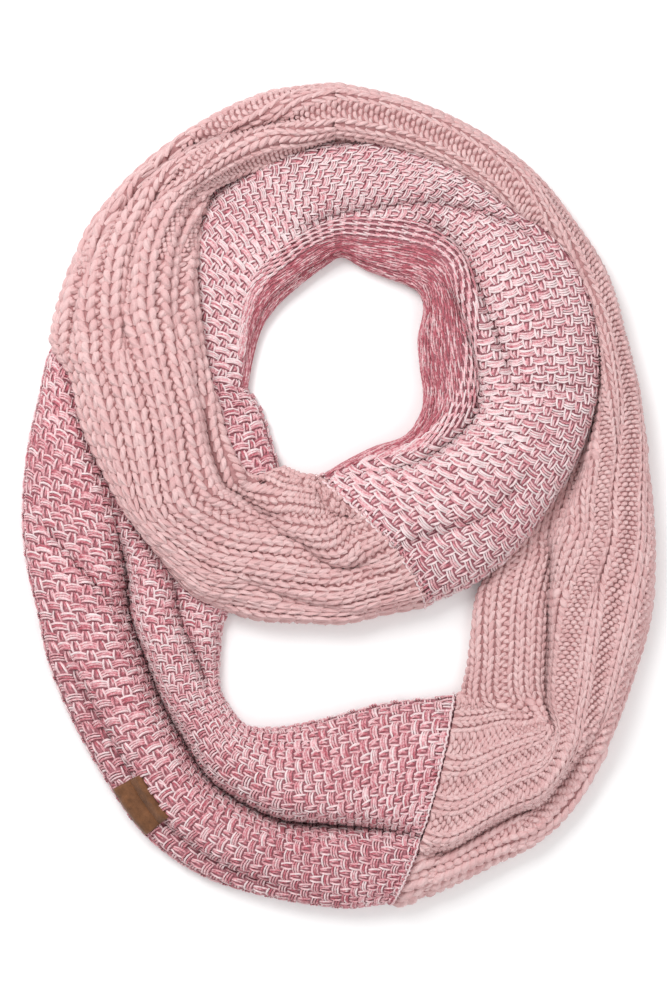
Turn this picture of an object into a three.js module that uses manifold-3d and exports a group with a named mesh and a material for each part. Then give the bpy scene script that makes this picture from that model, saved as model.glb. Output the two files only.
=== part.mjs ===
// A knitted infinity scarf, laid flat in two turns with its strip crossing over itself once.
// Millimetres. X runs to the right, Y away from the viewer, Z up from the surface it lies on.
// The strip is two sewn panels: a plain rib panel and a marled tuck-stitch panel.
// Each stretch of the strip is a loft of sections that run from its outer edge to its inner edge.

import * as THREE from 'three';
import { mergeVertices } from 'three/addons/utils/BufferGeometryUtils.js';
import Module from 'manifold-3d';

const wasm = await Module();
wasm.setup();

// Driving sizes
const CLOTH_GAP = 0.7;            // air left between two stretches that touch, 0.3 at the closest
const SEAM_GAP = 0.2;             // how far each panel stops short of a seam
const EDGE_SQUARENESS = 3;        // power of the section's rounded outline, 2 is an ellipse
const TUCK_HEIGHT = 6;            // below this height the edge curls in under itself
const TUCK_DEPTH = 2.5;
const LAYER_GROOVE = 2.6;         // depth of the line between two layers, seen on an edge
const LAYER_GROOVE_HALF = 3.4;
const LAYER_GROOVE_REACH = 0.2;   // share of the width, from each edge, that shows the layers
const PRESS_BLEND = 0.12;         // share of the width over which a pressed part rises again
const RIB_HEIGHT = 2.2;
const DROP_SHARPNESS = 2.5;       // how suddenly the cloth steps down on the lower side of a fold
const FINE_STEPS = 240;           // points along a section before they are spaced evenly
const ACROSS_STEPS = 42;          // faces from edge to edge over the top
const UNDER_STEPS = 9;            // faces from edge to edge along the flat underside
const DIRECTION_REACH = 2;        // points to each side that give the outward direction at a point
const FOLD_FADE = 4;              // a fold reaches full depth a quarter of the way in from its ends
const RIB_START = 2;              // height above the surface at which the ribs begin
const RIB_RISE = 5;               // height over which they come to their full lift
const PATCH_LENGTH = 31;
const PATCH_WIDTH = 20;
const PATCH_THICKNESS = 1.6;
const PATCH_COLUMNS = 12;         // faces along the patch
const PATCH_ROWS = 8;             // faces across it
const PATCH_SINK = 1.5;           // how far its blank starts below the cloth, before it is trimmed
const PATCH_REACH = 6;            // points to each side that give the outward direction under it
const PATCH_PLACE = { station: 9.6, stationLength: 37, fromEdge: 14 };

const STATION = ['outerX', 'outerY', 'midX', 'midY', 'innerX', 'innerY', 'crest', 'pressFrom', 'pressTo'];
const FOLD = ['from', 'to', 'start', 'middle', 'end', 'depth', 'half', 'drop'];

// Turns a short table into rows with named columns
function table(columns, rows) {
  return rows.map((row) => Object.fromEntries(columns.map((name, i) => [name, row[i]])));
}

// Stations give the outer edge, a point half way and the inner edge of a section, its crest height,
// and the share of its width, from the outer edge, that a stretch above presses down.
// Folds give the stations they run between, their place across the width at the start, middle and
// end, their depth, half width, and how much lower the cloth lies on their outer side. No fold goes
// deeper than the fold floor, the least height of the cloth with what it lies on.
// Ribs are how many lie across the top at the start, middle and end of the stretch.
const stretches = {
  rib_panel_right: {
    colour: 0xdba9a9,
    ribs: [7.6, 5.2, 3.8],
    rings: 38,
    pressedHeight: 11,
    foldFloor: 3,
    layers: 2,
    stations: table(STATION, [
      [31, -226, 50, -177, 66, -111, 27, 1.2, 1.3],
      [51, -220, 64, -174, 69, -112, 27, 1.2, 1.3],
      [75, -209, 81, -166, 72, -112, 27, 1.2, 1.3],
      [93, -200, 97, -154, 74, -110, 27, 1.2, 1.3],
      [111, -190, 112, -141, 75, -107, 27, 1.2, 1.3],
      [132, -169, 124, -121, 75, -102, 26, 0.6, 1.3],
      [150, -136, 129, -98, 75, -93, 26, 0.76, 1.3],
      [163, -100, 132, -73, 75, -79, 26, 1.1, 1.3],
      [173, -64, 135, -47, 78, -58, 26, 1.1, 1.3],
      [175, -31, 141, -25, 85, -40, 26, 0.8, 1.3],
      [174, -1, 142, -1, 102, -12, 25, 0.66, 1.3],
      [171, 30, 146, 27, 113, 16, 25, 0.58, 1.3],
      [167, 60, 145, 55, 118, 44, 25, 0.45, 1.3],
      [159, 91, 141, 85, 117, 71, 24, 0.36, 1.3],
      [149, 125, 132, 111, 110, 95, 24, 0.3, 1.3],
      [129, 156, 117, 141, 103, 128, 25, 0.34, 1.3],
      [106, 183, 99, 170, 93, 161, 27, 0.8, 1.3],
      [75, 205, 71, 193, 68, 181, 28, 1.2, 1.3],
      [39, 221, 37, 209, 34, 195, 28, 1.2, 1.3],
      [0, 230, 0, 216, -1, 201, 29, 1.2, 1.3],
    ]),
    folds: table(FOLD, [
      [-1, 6.6, 0.31, 0.29, 0.16, 12, 11, 7],
      [4.6, 10.4, 0.66, 0.62, 0.86, 9, 10, -9],
      [7, 12, 0.42, 0.38, 0.3, 5, 9, 0],
    ]),
  },
  rib_panel_crossing: {
    colour: 0xe0b0b0,
    ribs: [3.8, 8.2, 9],
    rings: 38,
    pressedHeight: 0,
    foldFloor: 17,
    layers: 2,
    stations: table(STATION, [
      [0, 230, 0, 216, -1, 201, 29, 1.2, 1.3],
      [-40, 225, -36, 208, -30, 189, 30, 1.2, 1.3],
      [-76, 209, -67, 194, -56, 180, 31, 1.2, 1.3],
      [-108, 186, -90, 177, -70, 173, 33, 1.2, 1.3],
      [-133, 157, -106, 157, -75, 161, 35, 1.2, 1.3],
      [-145, 133, -114, 137, -79, 145, 37, 1.2, 1.3],
      [-155, 106, -117, 110, -80, 125, 38, 1.2, 1.3],
      [-161, 86, -119, 88, -78, 99, 38, 1.2, 1.3],
      [-148, 68, -116, 67, -74, 76, 38, 1.2, 1.3],
      [-143, 44, -113, 46, -67, 54, 38, 1.2, 1.3],
      [-132, 19, -107, 23, -60, 33, 37, 1.2, 1.3],
      [-118, -6, -98, 1, -47, 17, 36, 1.2, 1.3],
      [-100, -30, -80, -16, -36, 17, 34, 1.2, 1.3],
      [-82, -52, -60, -29, -27, 14, 32, 1.2, 1.3],
      [-65, -60, -42, -33, -20, 12, 30, 1.2, 1.3],
      [-44, -66, -24, -36, -16, 12, 29, 1.2, 1.3],
      [-22, -67, -9, -40, -13, 11, 28, 1.2, 1.3],
      [2, -68, 5, -40, -11, 10, 28, 1.2, 1.3],
      [25, -63, 18, -34, -10, 10, 27, 1.2, 1.3],
      [48, -59, 29, -26, -11, 12, 27, 1.2, 1.3],
    ]),
    folds: table(FOLD, [
      [0.4, 3.4, 0.56, 0.34, 0.08, 8, 12, 0],
      [10.6, 18.8, 0.97, 0.66, 0.45, 9, 11, 5],
      [15.2, 18.8, 0.93, 0.84, 0.72, 8, 9, 0],
      [13.4, 17.6, 0.34, 0.24, 0.1, 7, 9, 3],
      [7.6, 14.6, 0.86, 0.84, 0.74, 8, 8, -4],
    ]),
  },
  tuck_panel_ring: {
    colour: 0xd7939b,
    rings: 34,
    pressedHeight: 12,
    foldFloor: 14,
    layers: 2,
    stations: table(STATION, [
      [48, -59, 29, -26, -11, 12, 27, -1, -1],
      [74, -48, 48, -12, 4, 21, 28, -1, -1],
      [99, -30, 71, -1, 20, 29, 30, -1, -1],
      [118, -6, 89, 21, 37, 35, 31, -1, -1],
      [135, 23, 102, 39, 46, 47, 31, -1, -1],
      [145, 53, 107, 58, 48, 58, 31, -1, -1],
      [148, 83, 107, 82, 46, 75, 31, -1, -1],
      [145, 111, 104, 106, 45, 90, 30, -1, -1],
      [138, 134, 96, 128, 48, 105, 29, -1, -1],
      [123, 155, 85, 148, 46, 115, 28, -1, -1],
      [107, 171, 68, 160, 39, 120, 26, -1, -1],
      [84, 184, 48, 168, 28, 124, 25, -1, -1],
      [56, 196, 26, 171, 15, 129, 24, -1, -1],
      [26, 204, 4, 172, 2, 136, 24, -1, 0],
      [-5, 206, -22, 169, -9, 130, 23, -1, 0.12],
      [-47, 204, -43, 165, -22, 120, 22, -1, 0.28],
      [-89, 184, -69, 152, -34, 109, 20, -1, 0.4],
      [-120, 156, -83, 127, -43, 96, 18, -1, 0.56],
      [-136, 128, -94, 99, -48, 79, 17, -1, 0.7],
      [-148, 100, -103, 75, -51, 62, 17, -1, 0.8],
    ]),
    folds: table(FOLD, [
      [0.4, 9.4, 0.93, 0.76, 0.94, 9, 10, -3],
      [4.6, 11.4, 0.55, 0.71, 0.6, 8, 11, 4],
      [7.6, 15, 0.16, 0.56, 0.76, 5, 12, -3],
      [-0.4, 3.4, 0.5, 0.38, 0.28, 5, 12, 0],
    ]),
  },
  tuck_panel_outer: {
    colour: 0xd18a94,
    rings: 30,
    pressedHeight: 12,
    foldFloor: 3,
    layers: 3,
    stations: table(STATION, [
      [-148, 100, -103, 75, -51, 62, 17, -0.2, 0.8],
      [-162, 83, -106, 50, -43, 49, 22, 0.08, 0.82],
      [-168, 58, -107, 27, -38, 33, 25, 0.2, 0.84],
      [-174, 30, -108, 5, -34, 12, 27, 0.32, 0.95],
      [-177, -1, -111, -17, -43, -23, 28, 0.46, 1.3],
      [-176, -31, -112, -43, -55, -51, 28, 0.66, 1.3],
      [-169, -62, -114, -65, -65, -71, 28, 1, 1.3],
      [-162, -94, -108, -90, -67, -90, 27, 1.2, 1.3],
      [-149, -125, -100, -114, -67, -107, 27, 1.2, 1.3],
      [-131, -157, -89, -135, -61, -118, 27, 1.2, 1.3],
      [-109, -188, -75, -157, -53, -127, 27, 1.2, 1.3],
      [-77, -211, -55, -171, -42, -129, 27, 1.2, 1.3],
      [-39, -223, -31, -180, -28, -128, 27, 1.2, 1.3],
      [0, -229, -2, -180, -9, -124, 27, 1.2, 1.3],
      [18, -228, 24, -178, 26, -115, 27, 1.2, 1.3],
      [31, -226, 50, -177, 66, -111, 27, 1.2, 1.3],
    ]),
    folds: table(FOLD, [
      [2.4, 16, 0.33, 0.52, 0.36, 24, 13, 3],
      [3.8, 8.4, 0.54, 0.75, 0.92, 9, 11, -8],
      [6.2, 12.8, 0.1, 0.14, 0.08, 7, 8, 4],
      [4.1, 6.2, 0.02, 0.26, 0.46, 6, 9, -3],
    ]),
  },
};

const smooth = (x) => {
  const c = Math.min(1, Math.max(0, x));
  return c * c * (3 - 2 * c);
};

// A fold's cross-section: two rounded rolls that meet in a sharp valley
const valley = (x) => (1 - Math.min(1, Math.abs(x))) ** 2;

// Smooth value of a column between stations
function columnAt(stations, name, u) {
  const last = stations.length - 1;
  const k = Math.min(last - 1, Math.max(0, Math.floor(u)));
  const f = u - k;
  const at = (i) => stations[Math.min(last, Math.max(0, i))][name];
  const [a, b, c, d] = [at(k - 1), at(k), at(k + 1), at(k + 2)];
  return b + 0.5 * f * (c - a + f * (2 * a - 5 * b + 4 * c - d + f * (3 * (b - c) + d - a)));
}

function stationAt(stretch, u) {
  return Object.fromEntries(STATION.map((name) => [name, columnAt(stretch.stations, name, u)]));
}

// Plan line of a section: from the outer edge through the half-way point to the inner edge
function planLine(row) {
  const outer = new THREE.Vector2(row.outerX, row.outerY);
  const inner = new THREE.Vector2(row.innerX, row.innerY);
  const middle = new THREE.Vector2(row.midX, row.midY);
  const control = middle.clone().multiplyScalar(2).sub(outer.clone().add(inner).multiplyScalar(0.5));
  return new THREE.QuadraticBezierCurve(outer, control, inner);
}

// Height of the cloth at a share t of the width, with its folds and its pressed part
function heightAt(stretch, row, width, u, t) {
  const dome = row.crest * (1 - Math.abs(2 * t - 1) ** EDGE_SQUARENESS) ** (1 / EDGE_SQUARENESS);
  let z = dome;
  for (const fold of stretch.folds) {
    const along = (u - fold.from) / (fold.to - fold.from);
    if (along <= 0 || along >= 1) continue;
    const fade = smooth(FOLD_FADE * Math.min(along, 1 - along));
    const bend = 4 * along * (1 - along);
    const place = fold.start + (fold.end - fold.start) * along
      + (fold.middle - (fold.start + fold.end) / 2) * bend;
    const away = (t - place) * width / fold.half;
    const lowSide = smooth(0.5 - away * DROP_SHARPNESS * Math.sign(fold.drop));
    const edge = smooth(FOLD_FADE * Math.min(t, 1 - t) * width / fold.half);
    z -= fade * (fold.depth * valley(away) * edge + Math.abs(fold.drop) * lowSide * dome / row.crest);
  }
  z = Math.max(z, Math.min(dome, stretch.foldFloor));
  const pressed = smooth((t - row.pressFrom) / PRESS_BLEND + 0.5)
    * smooth((row.pressTo - t) / PRESS_BLEND + 0.5);
  return z + (Math.min(z, stretch.pressedHeight) - z) * pressed;
}

// How far an edge is drawn in at a height: its curl under, and the lines between its layers
function edgeDrawIn(stretch, row, t, z) {
  let drawIn = z < TUCK_HEIGHT ? TUCK_DEPTH * (1 - z / TUCK_HEIGHT) ** 2 : 0;
  const reach = smooth(1 - Math.min(t, 1 - t) / LAYER_GROOVE_REACH);
  for (let layer = 1; layer < stretch.layers; layer++) {
    const line = row.crest * layer / stretch.layers;
    drawIn += LAYER_GROOVE * reach * valley((z - line) / LAYER_GROOVE_HALF);
  }
  return drawIn;
}

// The section's top line, evenly spaced, as points with their outward direction
function sectionLine(stretch, u, steps) {
  const row = stationAt(stretch, u);
  const plan = planLine(row);
  const width = plan.getLength();
  const fine = [];
  let run = 0;
  for (let k = 0; k <= FINE_STEPS; k++) {
    const t = 0.5 - 0.5 * Math.cos(Math.PI * k / FINE_STEPS);
    const z = k === 0 || k === FINE_STEPS ? 0 : heightAt(stretch, row, width, u, t);
    const side = t < 0.5 ? 1 : -1;
    const across = t * width + side * edgeDrawIn(stretch, row, t, z);
    if (k > 0) run += Math.hypot(across - fine[k - 1].across, z - fine[k - 1].z);
    fine.push({ across, z, run });
  }
  const line = [];
  let k = 0;
  for (let i = 0; i <= steps; i++) {
    const wanted = run * i / steps;
    while (k < FINE_STEPS - 1 && fine[k + 1].run < wanted) k++;
    const [a, b] = [fine[k], fine[k + 1]];
    const f = Math.min(1, (wanted - a.run) / (b.run - a.run));
    line.push({
      across: a.across + (b.across - a.across) * f,
      z: a.z + (b.z - a.z) * f,
      share: i / steps,
    });
  }
  return { line, plan, width, pressFrom: row.pressFrom };
}

// A value that goes from the first to the middle to the last along a stretch
function alongStretch([first, middle, last], progress) {
  const bend = 4 * progress * (1 - progress);
  return first + (last - first) * progress + (middle - (first + last) / 2) * bend;
}

// The raised ribs that run along the strip, fading out where the cloth is pressed or meets the floor
function ribLift(ribs, point, t, pressFrom) {
  const wave = 0.5 - 0.5 * Math.cos(2 * Math.PI * ribs * (point.share - 0.5));
  const clear = 1 - smooth((t - pressFrom) / PRESS_BLEND + 1);
  return RIB_HEIGHT * Math.sqrt(wave) * smooth((point.z - RIB_START) / RIB_RISE) * clear;
}

// One closed section: the top line from edge to edge, then the flat underside back
function sectionPoints(stretch, u) {
  const { line, plan, width, pressFrom } = sectionLine(stretch, u, ACROSS_STEPS);
  const ribs = stretch.ribs ? alongStretch(stretch.ribs, u / (stretch.stations.length - 1)) : 0;
  const top = line.map((point, i) => {
    const before = line[Math.max(0, i - DIRECTION_REACH)];
    const after = line[Math.min(ACROSS_STEPS, i + DIRECTION_REACH)];
    const run = Math.hypot(after.across - before.across, after.z - before.z) || 1;
    const lift = ribLift(ribs, point, point.across / width, pressFrom);
    const across = point.across - lift * (after.z - before.z) / run;
    return placeOnPlan(plan, width, across, point.z + lift * (after.across - before.across) / run);
  });
  const [first, last] = [line[0].across, line[ACROSS_STEPS].across];
  const under = [];
  for (let j = 1; j < UNDER_STEPS; j++) {
    under.push(placeOnPlan(plan, width, first + (last - first) * j / UNDER_STEPS, 0));
  }
  return [...top, ...under.reverse()];
}

function placeOnPlan(plan, width, across, z) {
  const t = across / width;
  const inside = Math.min(1, Math.max(0, t));
  const point = plan.getPoint(inside);
  const direction = plan.getTangent(inside).multiplyScalar((t - inside) * width);
  return new THREE.Vector3(point.x + direction.x, point.y + direction.y, z);
}

// Closed body of a stretch, from its first station to its last
function stretchGeometry(stretch) {
  const last = stretch.stations.length - 1;
  const sections = [];
  for (let i = 0; i <= stretch.rings; i++) {
    sections.push(sectionPoints(stretch, last * i / stretch.rings));
  }
  moveEnd(sections[0], sections[1]);
  moveEnd(sections[stretch.rings], sections[stretch.rings - 1]);
  const size = sections[0].length;
  const faces = [];
  for (let i = 0; i < stretch.rings; i++) {
    for (let k = 0; k < size; k++) {
      const next = (k + 1) % size;
      const [a, b] = [i * size + k, i * size + next];
      faces.push(a, b, b + size, a, b + size, a + size);
    }
  }
  faces.push(...capFaces(0, size, true), ...capFaces(stretch.rings * size, size, false));
  return closedGeometry(sections.flat(), faces);
}

function moveEnd(section, neighbour) {
  section.forEach((point, k) => {
    const step = neighbour[k].clone().sub(point).setZ(0);
    point.addScaledVector(step.normalize(), SEAM_GAP);
  });
}

// The same body, larger all round by a distance
function grownGeometry(geometry, distance) {
  const larger = geometry.clone();
  larger.computeVertexNormals();
  const { position, normal } = larger.attributes;
  const point = new THREE.Vector3();
  for (let i = 0; i < position.count; i++) {
    const outwards = new THREE.Vector3().fromBufferAttribute(normal, i);
    point.fromBufferAttribute(position, i).addScaledVector(outwards, distance);
    position.setXYZ(i, point.x, point.y, point.z);
  }
  larger.deleteAttribute('normal');
  return larger;
}

// A section's end face, as upright slices between the top line and the underside
function capFaces(base, size, flip) {
  const under = (j) => {
    if (j === 0) return base;
    if (j === UNDER_STEPS) return base + ACROSS_STEPS;
    return base + size - j;
  };
  const faces = [];
  const add = (a, b, c) => {
    if (a === b || b === c || a === c) return;
    faces.push(...(flip ? [a, c, b] : [a, b, c]));
  };
  for (let j = 0; j < UNDER_STEPS; j++) {
    const first = Math.round(j * ACROSS_STEPS / UNDER_STEPS);
    const end = Math.round((j + 1) * ACROSS_STEPS / UNDER_STEPS);
    const middle = Math.floor((first + end) / 2);
    for (let k = first; k < middle; k++) add(under(j), base + k, base + k + 1);
    add(under(j), base + middle, under(j + 1));
    for (let k = middle; k < end; k++) add(under(j + 1), base + k, base + k + 1);
  }
  return faces;
}

function closedGeometry(points, faces) {
  const geometry = new THREE.BufferGeometry();
  geometry.setAttribute('position', new THREE.Float32BufferAttribute(points.flatMap((p) => p.toArray()), 3));
  geometry.setIndex(volumeOf(points, faces) > 0 ? faces : faces.slice().reverse());
  return geometry;
}

function volumeOf(points, faces) {
  let volume = 0;
  for (let i = 0; i < faces.length; i += 3) {
    const [a, b, c] = [points[faces[i]], points[faces[i + 1]], points[faces[i + 2]]];
    volume += a.dot(b.clone().cross(c)) / 6;
  }
  return volume;
}

function toSolid(geometry) {
  const merged = mergeVertices(geometry, 1e-4);
  return new wasm.Manifold(new wasm.Mesh({
    numProp: 3,
    vertProperties: new Float32Array(merged.attributes.position.array),
    triVerts: new Uint32Array(merged.index.array),
  }));
}

// The largest single body of a cut piece
function toGeometry(solid) {
  const bodies = solid.decompose();
  const largest = bodies.reduce((a, b) => (a.volume() > b.volume() ? a : b));
  const mesh = largest.getMesh();
  const geometry = new THREE.BufferGeometry();
  geometry.setAttribute('position', new THREE.BufferAttribute(new Float32Array(mesh.vertProperties), 3));
  geometry.setIndex(new THREE.BufferAttribute(new Uint32Array(mesh.triVerts), 1));
  return geometry;
}

// A leather patch sewn over the outer roll: a slab on the stretch's own surface
function patchGeometry(stretch, place) {
  const [columns, rows] = [PATCH_COLUMNS, PATCH_ROWS];
  const points = [];
  for (const lift of [PATCH_THICKNESS + CLOTH_GAP, -PATCH_SINK]) {
    for (let i = 0; i <= columns; i++) {
      for (let j = 0; j <= rows; j++) {
        const along = (i / columns - 0.5) * PATCH_LENGTH;
        const across = (j / rows) * PATCH_WIDTH;
        points.push(surfacePoint(stretch, place.station + along / place.stationLength,
          place.fromEdge + across, lift));
      }
    }
  }
  const faces = [];
  const layer = (columns + 1) * (rows + 1);
  const at = (i, j) => i * (rows + 1) + j;
  const quad = (a, b, c, d) => faces.push(a, b, c, a, c, d);
  for (let i = 0; i < columns; i++) {
    for (let j = 0; j < rows; j++) {
      quad(at(i, j), at(i + 1, j), at(i + 1, j + 1), at(i, j + 1));
      quad(layer + at(i, j), layer + at(i, j + 1), layer + at(i + 1, j + 1), layer + at(i + 1, j));
    }
    quad(at(i + 1, 0), at(i, 0), layer + at(i, 0), layer + at(i + 1, 0));
    quad(at(i, rows), at(i + 1, rows), layer + at(i + 1, rows), layer + at(i, rows));
  }
  for (let j = 0; j < rows; j++) {
    quad(at(0, j), at(0, j + 1), layer + at(0, j + 1), layer + at(0, j));
    quad(at(columns, j + 1), at(columns, j), layer + at(columns, j), layer + at(columns, j + 1));
  }
  return closedGeometry(points, faces);
}

// A point on a stretch's surface, a distance along the section from its outer edge, lifted off it
function surfacePoint(stretch, u, distance, lift) {
  const { line, plan, width } = sectionLine(stretch, u, FINE_STEPS);
  let run = 0;
  let k = 1;
  while (run < distance && k < FINE_STEPS - 1) {
    k++;
    run += Math.hypot(line[k].across - line[k - 1].across, line[k].z - line[k - 1].z);
  }
  const before = line[Math.max(0, k - PATCH_REACH)];
  const after = line[Math.min(FINE_STEPS, k + PATCH_REACH)];
  const span = Math.hypot(after.across - before.across, after.z - before.z);
  return placeOnPlan(plan, width, line[k].across - lift * (after.z - before.z) / span,
    line[k].z + lift * (after.across - before.across) / span);
}

function clothMesh(name, geometry, colour, roughness) {
  const material = new THREE.MeshStandardMaterial({ color: colour, roughness, metalness: 0 });
  const mesh = new THREE.Mesh(geometry, material);
  mesh.name = name;
  return mesh;
}

// Each stretch that lies over another has that other, grown by the gap, cut from it
const solid = {};
const grown = {};
for (const [name, stretch] of Object.entries(stretches)) {
  const geometry = stretchGeometry(stretch);
  solid[name] = toSolid(geometry);
  grown[name] = toSolid(grownGeometry(geometry, CLOTH_GAP));
}
const ring = solid.tuck_panel_ring.subtract(grown.rib_panel_right);
const crossing = solid.rib_panel_crossing.subtract(grown.tuck_panel_ring).subtract(grown.tuck_panel_outer);
const patch = toSolid(patchGeometry(stretches.tuck_panel_outer, PATCH_PLACE))
  .subtract(grown.tuck_panel_outer);

const scarf = new THREE.Group();
scarf.add(
  clothMesh('rib_panel_right', toGeometry(solid.rib_panel_right), stretches.rib_panel_right.colour, 0.95),
  clothMesh('rib_panel_crossing', toGeometry(crossing), stretches.rib_panel_crossing.colour, 0.95),
  clothMesh('tuck_panel_ring', toGeometry(ring), stretches.tuck_panel_ring.colour, 0.95),
  clothMesh('tuck_panel_outer', toGeometry(solid.tuck_panel_outer), stretches.tuck_panel_outer.colour, 0.95),
  clothMesh('leather_patch', toGeometry(patch), 0x6e462c, 0.7),
);

// The origin is on the floor, under the middle of the scarf's outline
const box = new THREE.Box3().setFromObject(scarf);
const middle = box.getCenter(new THREE.Vector3());
scarf.position.set(-middle.x, -middle.y, -box.min.z);

export default scarf;
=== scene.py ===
import math
from collections import namedtuple
from functools import partial

import bpy
import numpy as np
from mathutils import Matrix, Vector
from mathutils.bvhtree import BVHTree


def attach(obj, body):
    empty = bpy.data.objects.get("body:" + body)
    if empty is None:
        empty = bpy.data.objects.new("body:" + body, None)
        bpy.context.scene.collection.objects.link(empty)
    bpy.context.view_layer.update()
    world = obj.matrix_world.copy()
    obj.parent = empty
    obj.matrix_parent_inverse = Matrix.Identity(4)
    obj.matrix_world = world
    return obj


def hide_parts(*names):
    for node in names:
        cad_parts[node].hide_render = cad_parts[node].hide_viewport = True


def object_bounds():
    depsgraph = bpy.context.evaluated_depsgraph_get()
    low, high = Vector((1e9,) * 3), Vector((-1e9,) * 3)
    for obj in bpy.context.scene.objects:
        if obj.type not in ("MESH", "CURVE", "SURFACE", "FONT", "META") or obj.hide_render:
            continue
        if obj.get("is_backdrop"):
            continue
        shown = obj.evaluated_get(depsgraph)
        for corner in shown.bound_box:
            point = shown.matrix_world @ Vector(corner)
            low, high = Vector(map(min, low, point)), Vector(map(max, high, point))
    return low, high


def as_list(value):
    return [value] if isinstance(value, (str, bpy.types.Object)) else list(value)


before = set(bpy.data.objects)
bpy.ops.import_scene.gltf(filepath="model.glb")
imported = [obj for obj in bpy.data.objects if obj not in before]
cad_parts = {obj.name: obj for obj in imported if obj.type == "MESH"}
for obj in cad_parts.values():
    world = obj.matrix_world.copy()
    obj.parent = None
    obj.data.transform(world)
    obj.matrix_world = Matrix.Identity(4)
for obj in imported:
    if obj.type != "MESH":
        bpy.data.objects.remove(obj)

bl_info = {
    "name": "Knitted infinity scarf",
    "version": (1, 0, 0),
    "blender": (4, 5, 0),
    "location": "3D View > Sidebar > Scarf",
    "description": "Cloth, stitches, seams and leather patch of an infinity scarf laid flat in two turns",
    "category": "Object",
}

CAD_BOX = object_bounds()
MM = 0.001
ROOT = "root"
SEED = 7

# How a section of the strip is drawn, in millimetres, as in the solids: its round-off, the curl under
# its edges, the lines between its layers, the blend beside a pressed place, its ribs and its folds
EDGE_SQUARENESS = 3
TUCK_HEIGHT = 6
TUCK_DEPTH = 2.5
LAYER_GROOVE = 2.6
LAYER_GROOVE_HALF = 3.4
LAYER_GROOVE_REACH = 0.2
PRESS_BLEND = 0.12
RIB_HEIGHT = 2.2
RIB_FADE_FROM = 2
RIB_FADE_OVER = 5
DROP_SHARPNESS = 2.5
FOLD_FADE = 4
WRINKLE_FADE = 12

# How finely the cloth is drawn: the steps along its middle and across its width that measure it, those
# of a section before and after it is cut to what shows, those of its underside, the distance between
# sections in mm, and the steps on each side that give an outward direction
MIDDLE_STEPS = 200
WIDTH_STEPS = 64
FINE_STEPS = 240
ACROSS_STEPS = 116
UNDER_STEPS = 14
RING_SPACING = 3.8
DIRECTION_REACH = 2

# Thickness of the cloth, and how far it stays off its seams and off what it lies on, in mm
WALL = 2.2
SEAM_GAP = 0.1
REST_GAP = 0.5

# The painted shade at the bottom of a fold, a dark line put into the colour: how much narrower it is than
# the fold, the depth in mm of a fold that is fully dark, and the colour that darkens it
FOLD_SHADE = 2.6
DARKEST_FOLD = 20
FOLD_SHADE_COLOUR = (0.2, 0.07, 0.08, 1)

# A place past what shows of a section by this share of its width counts as fully pressed; one that shows
# is pressed by this share at most
HIDDEN_MARGIN = 0.01
MOST_PRESSED = 0.9

# Heights in mm from which rays look down on a stretch, and up for a stretch that covers it
RAY_TOP = 100
RAY_BOTTOM = 3.0

STATION = ("outer_x", "outer_y", "mid_x", "mid_y", "inner_x", "inner_y", "crest", "press_from", "press_to")
FOLD = ("start_station", "end_station", "start", "middle", "end", "depth", "half", "drop")

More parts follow.
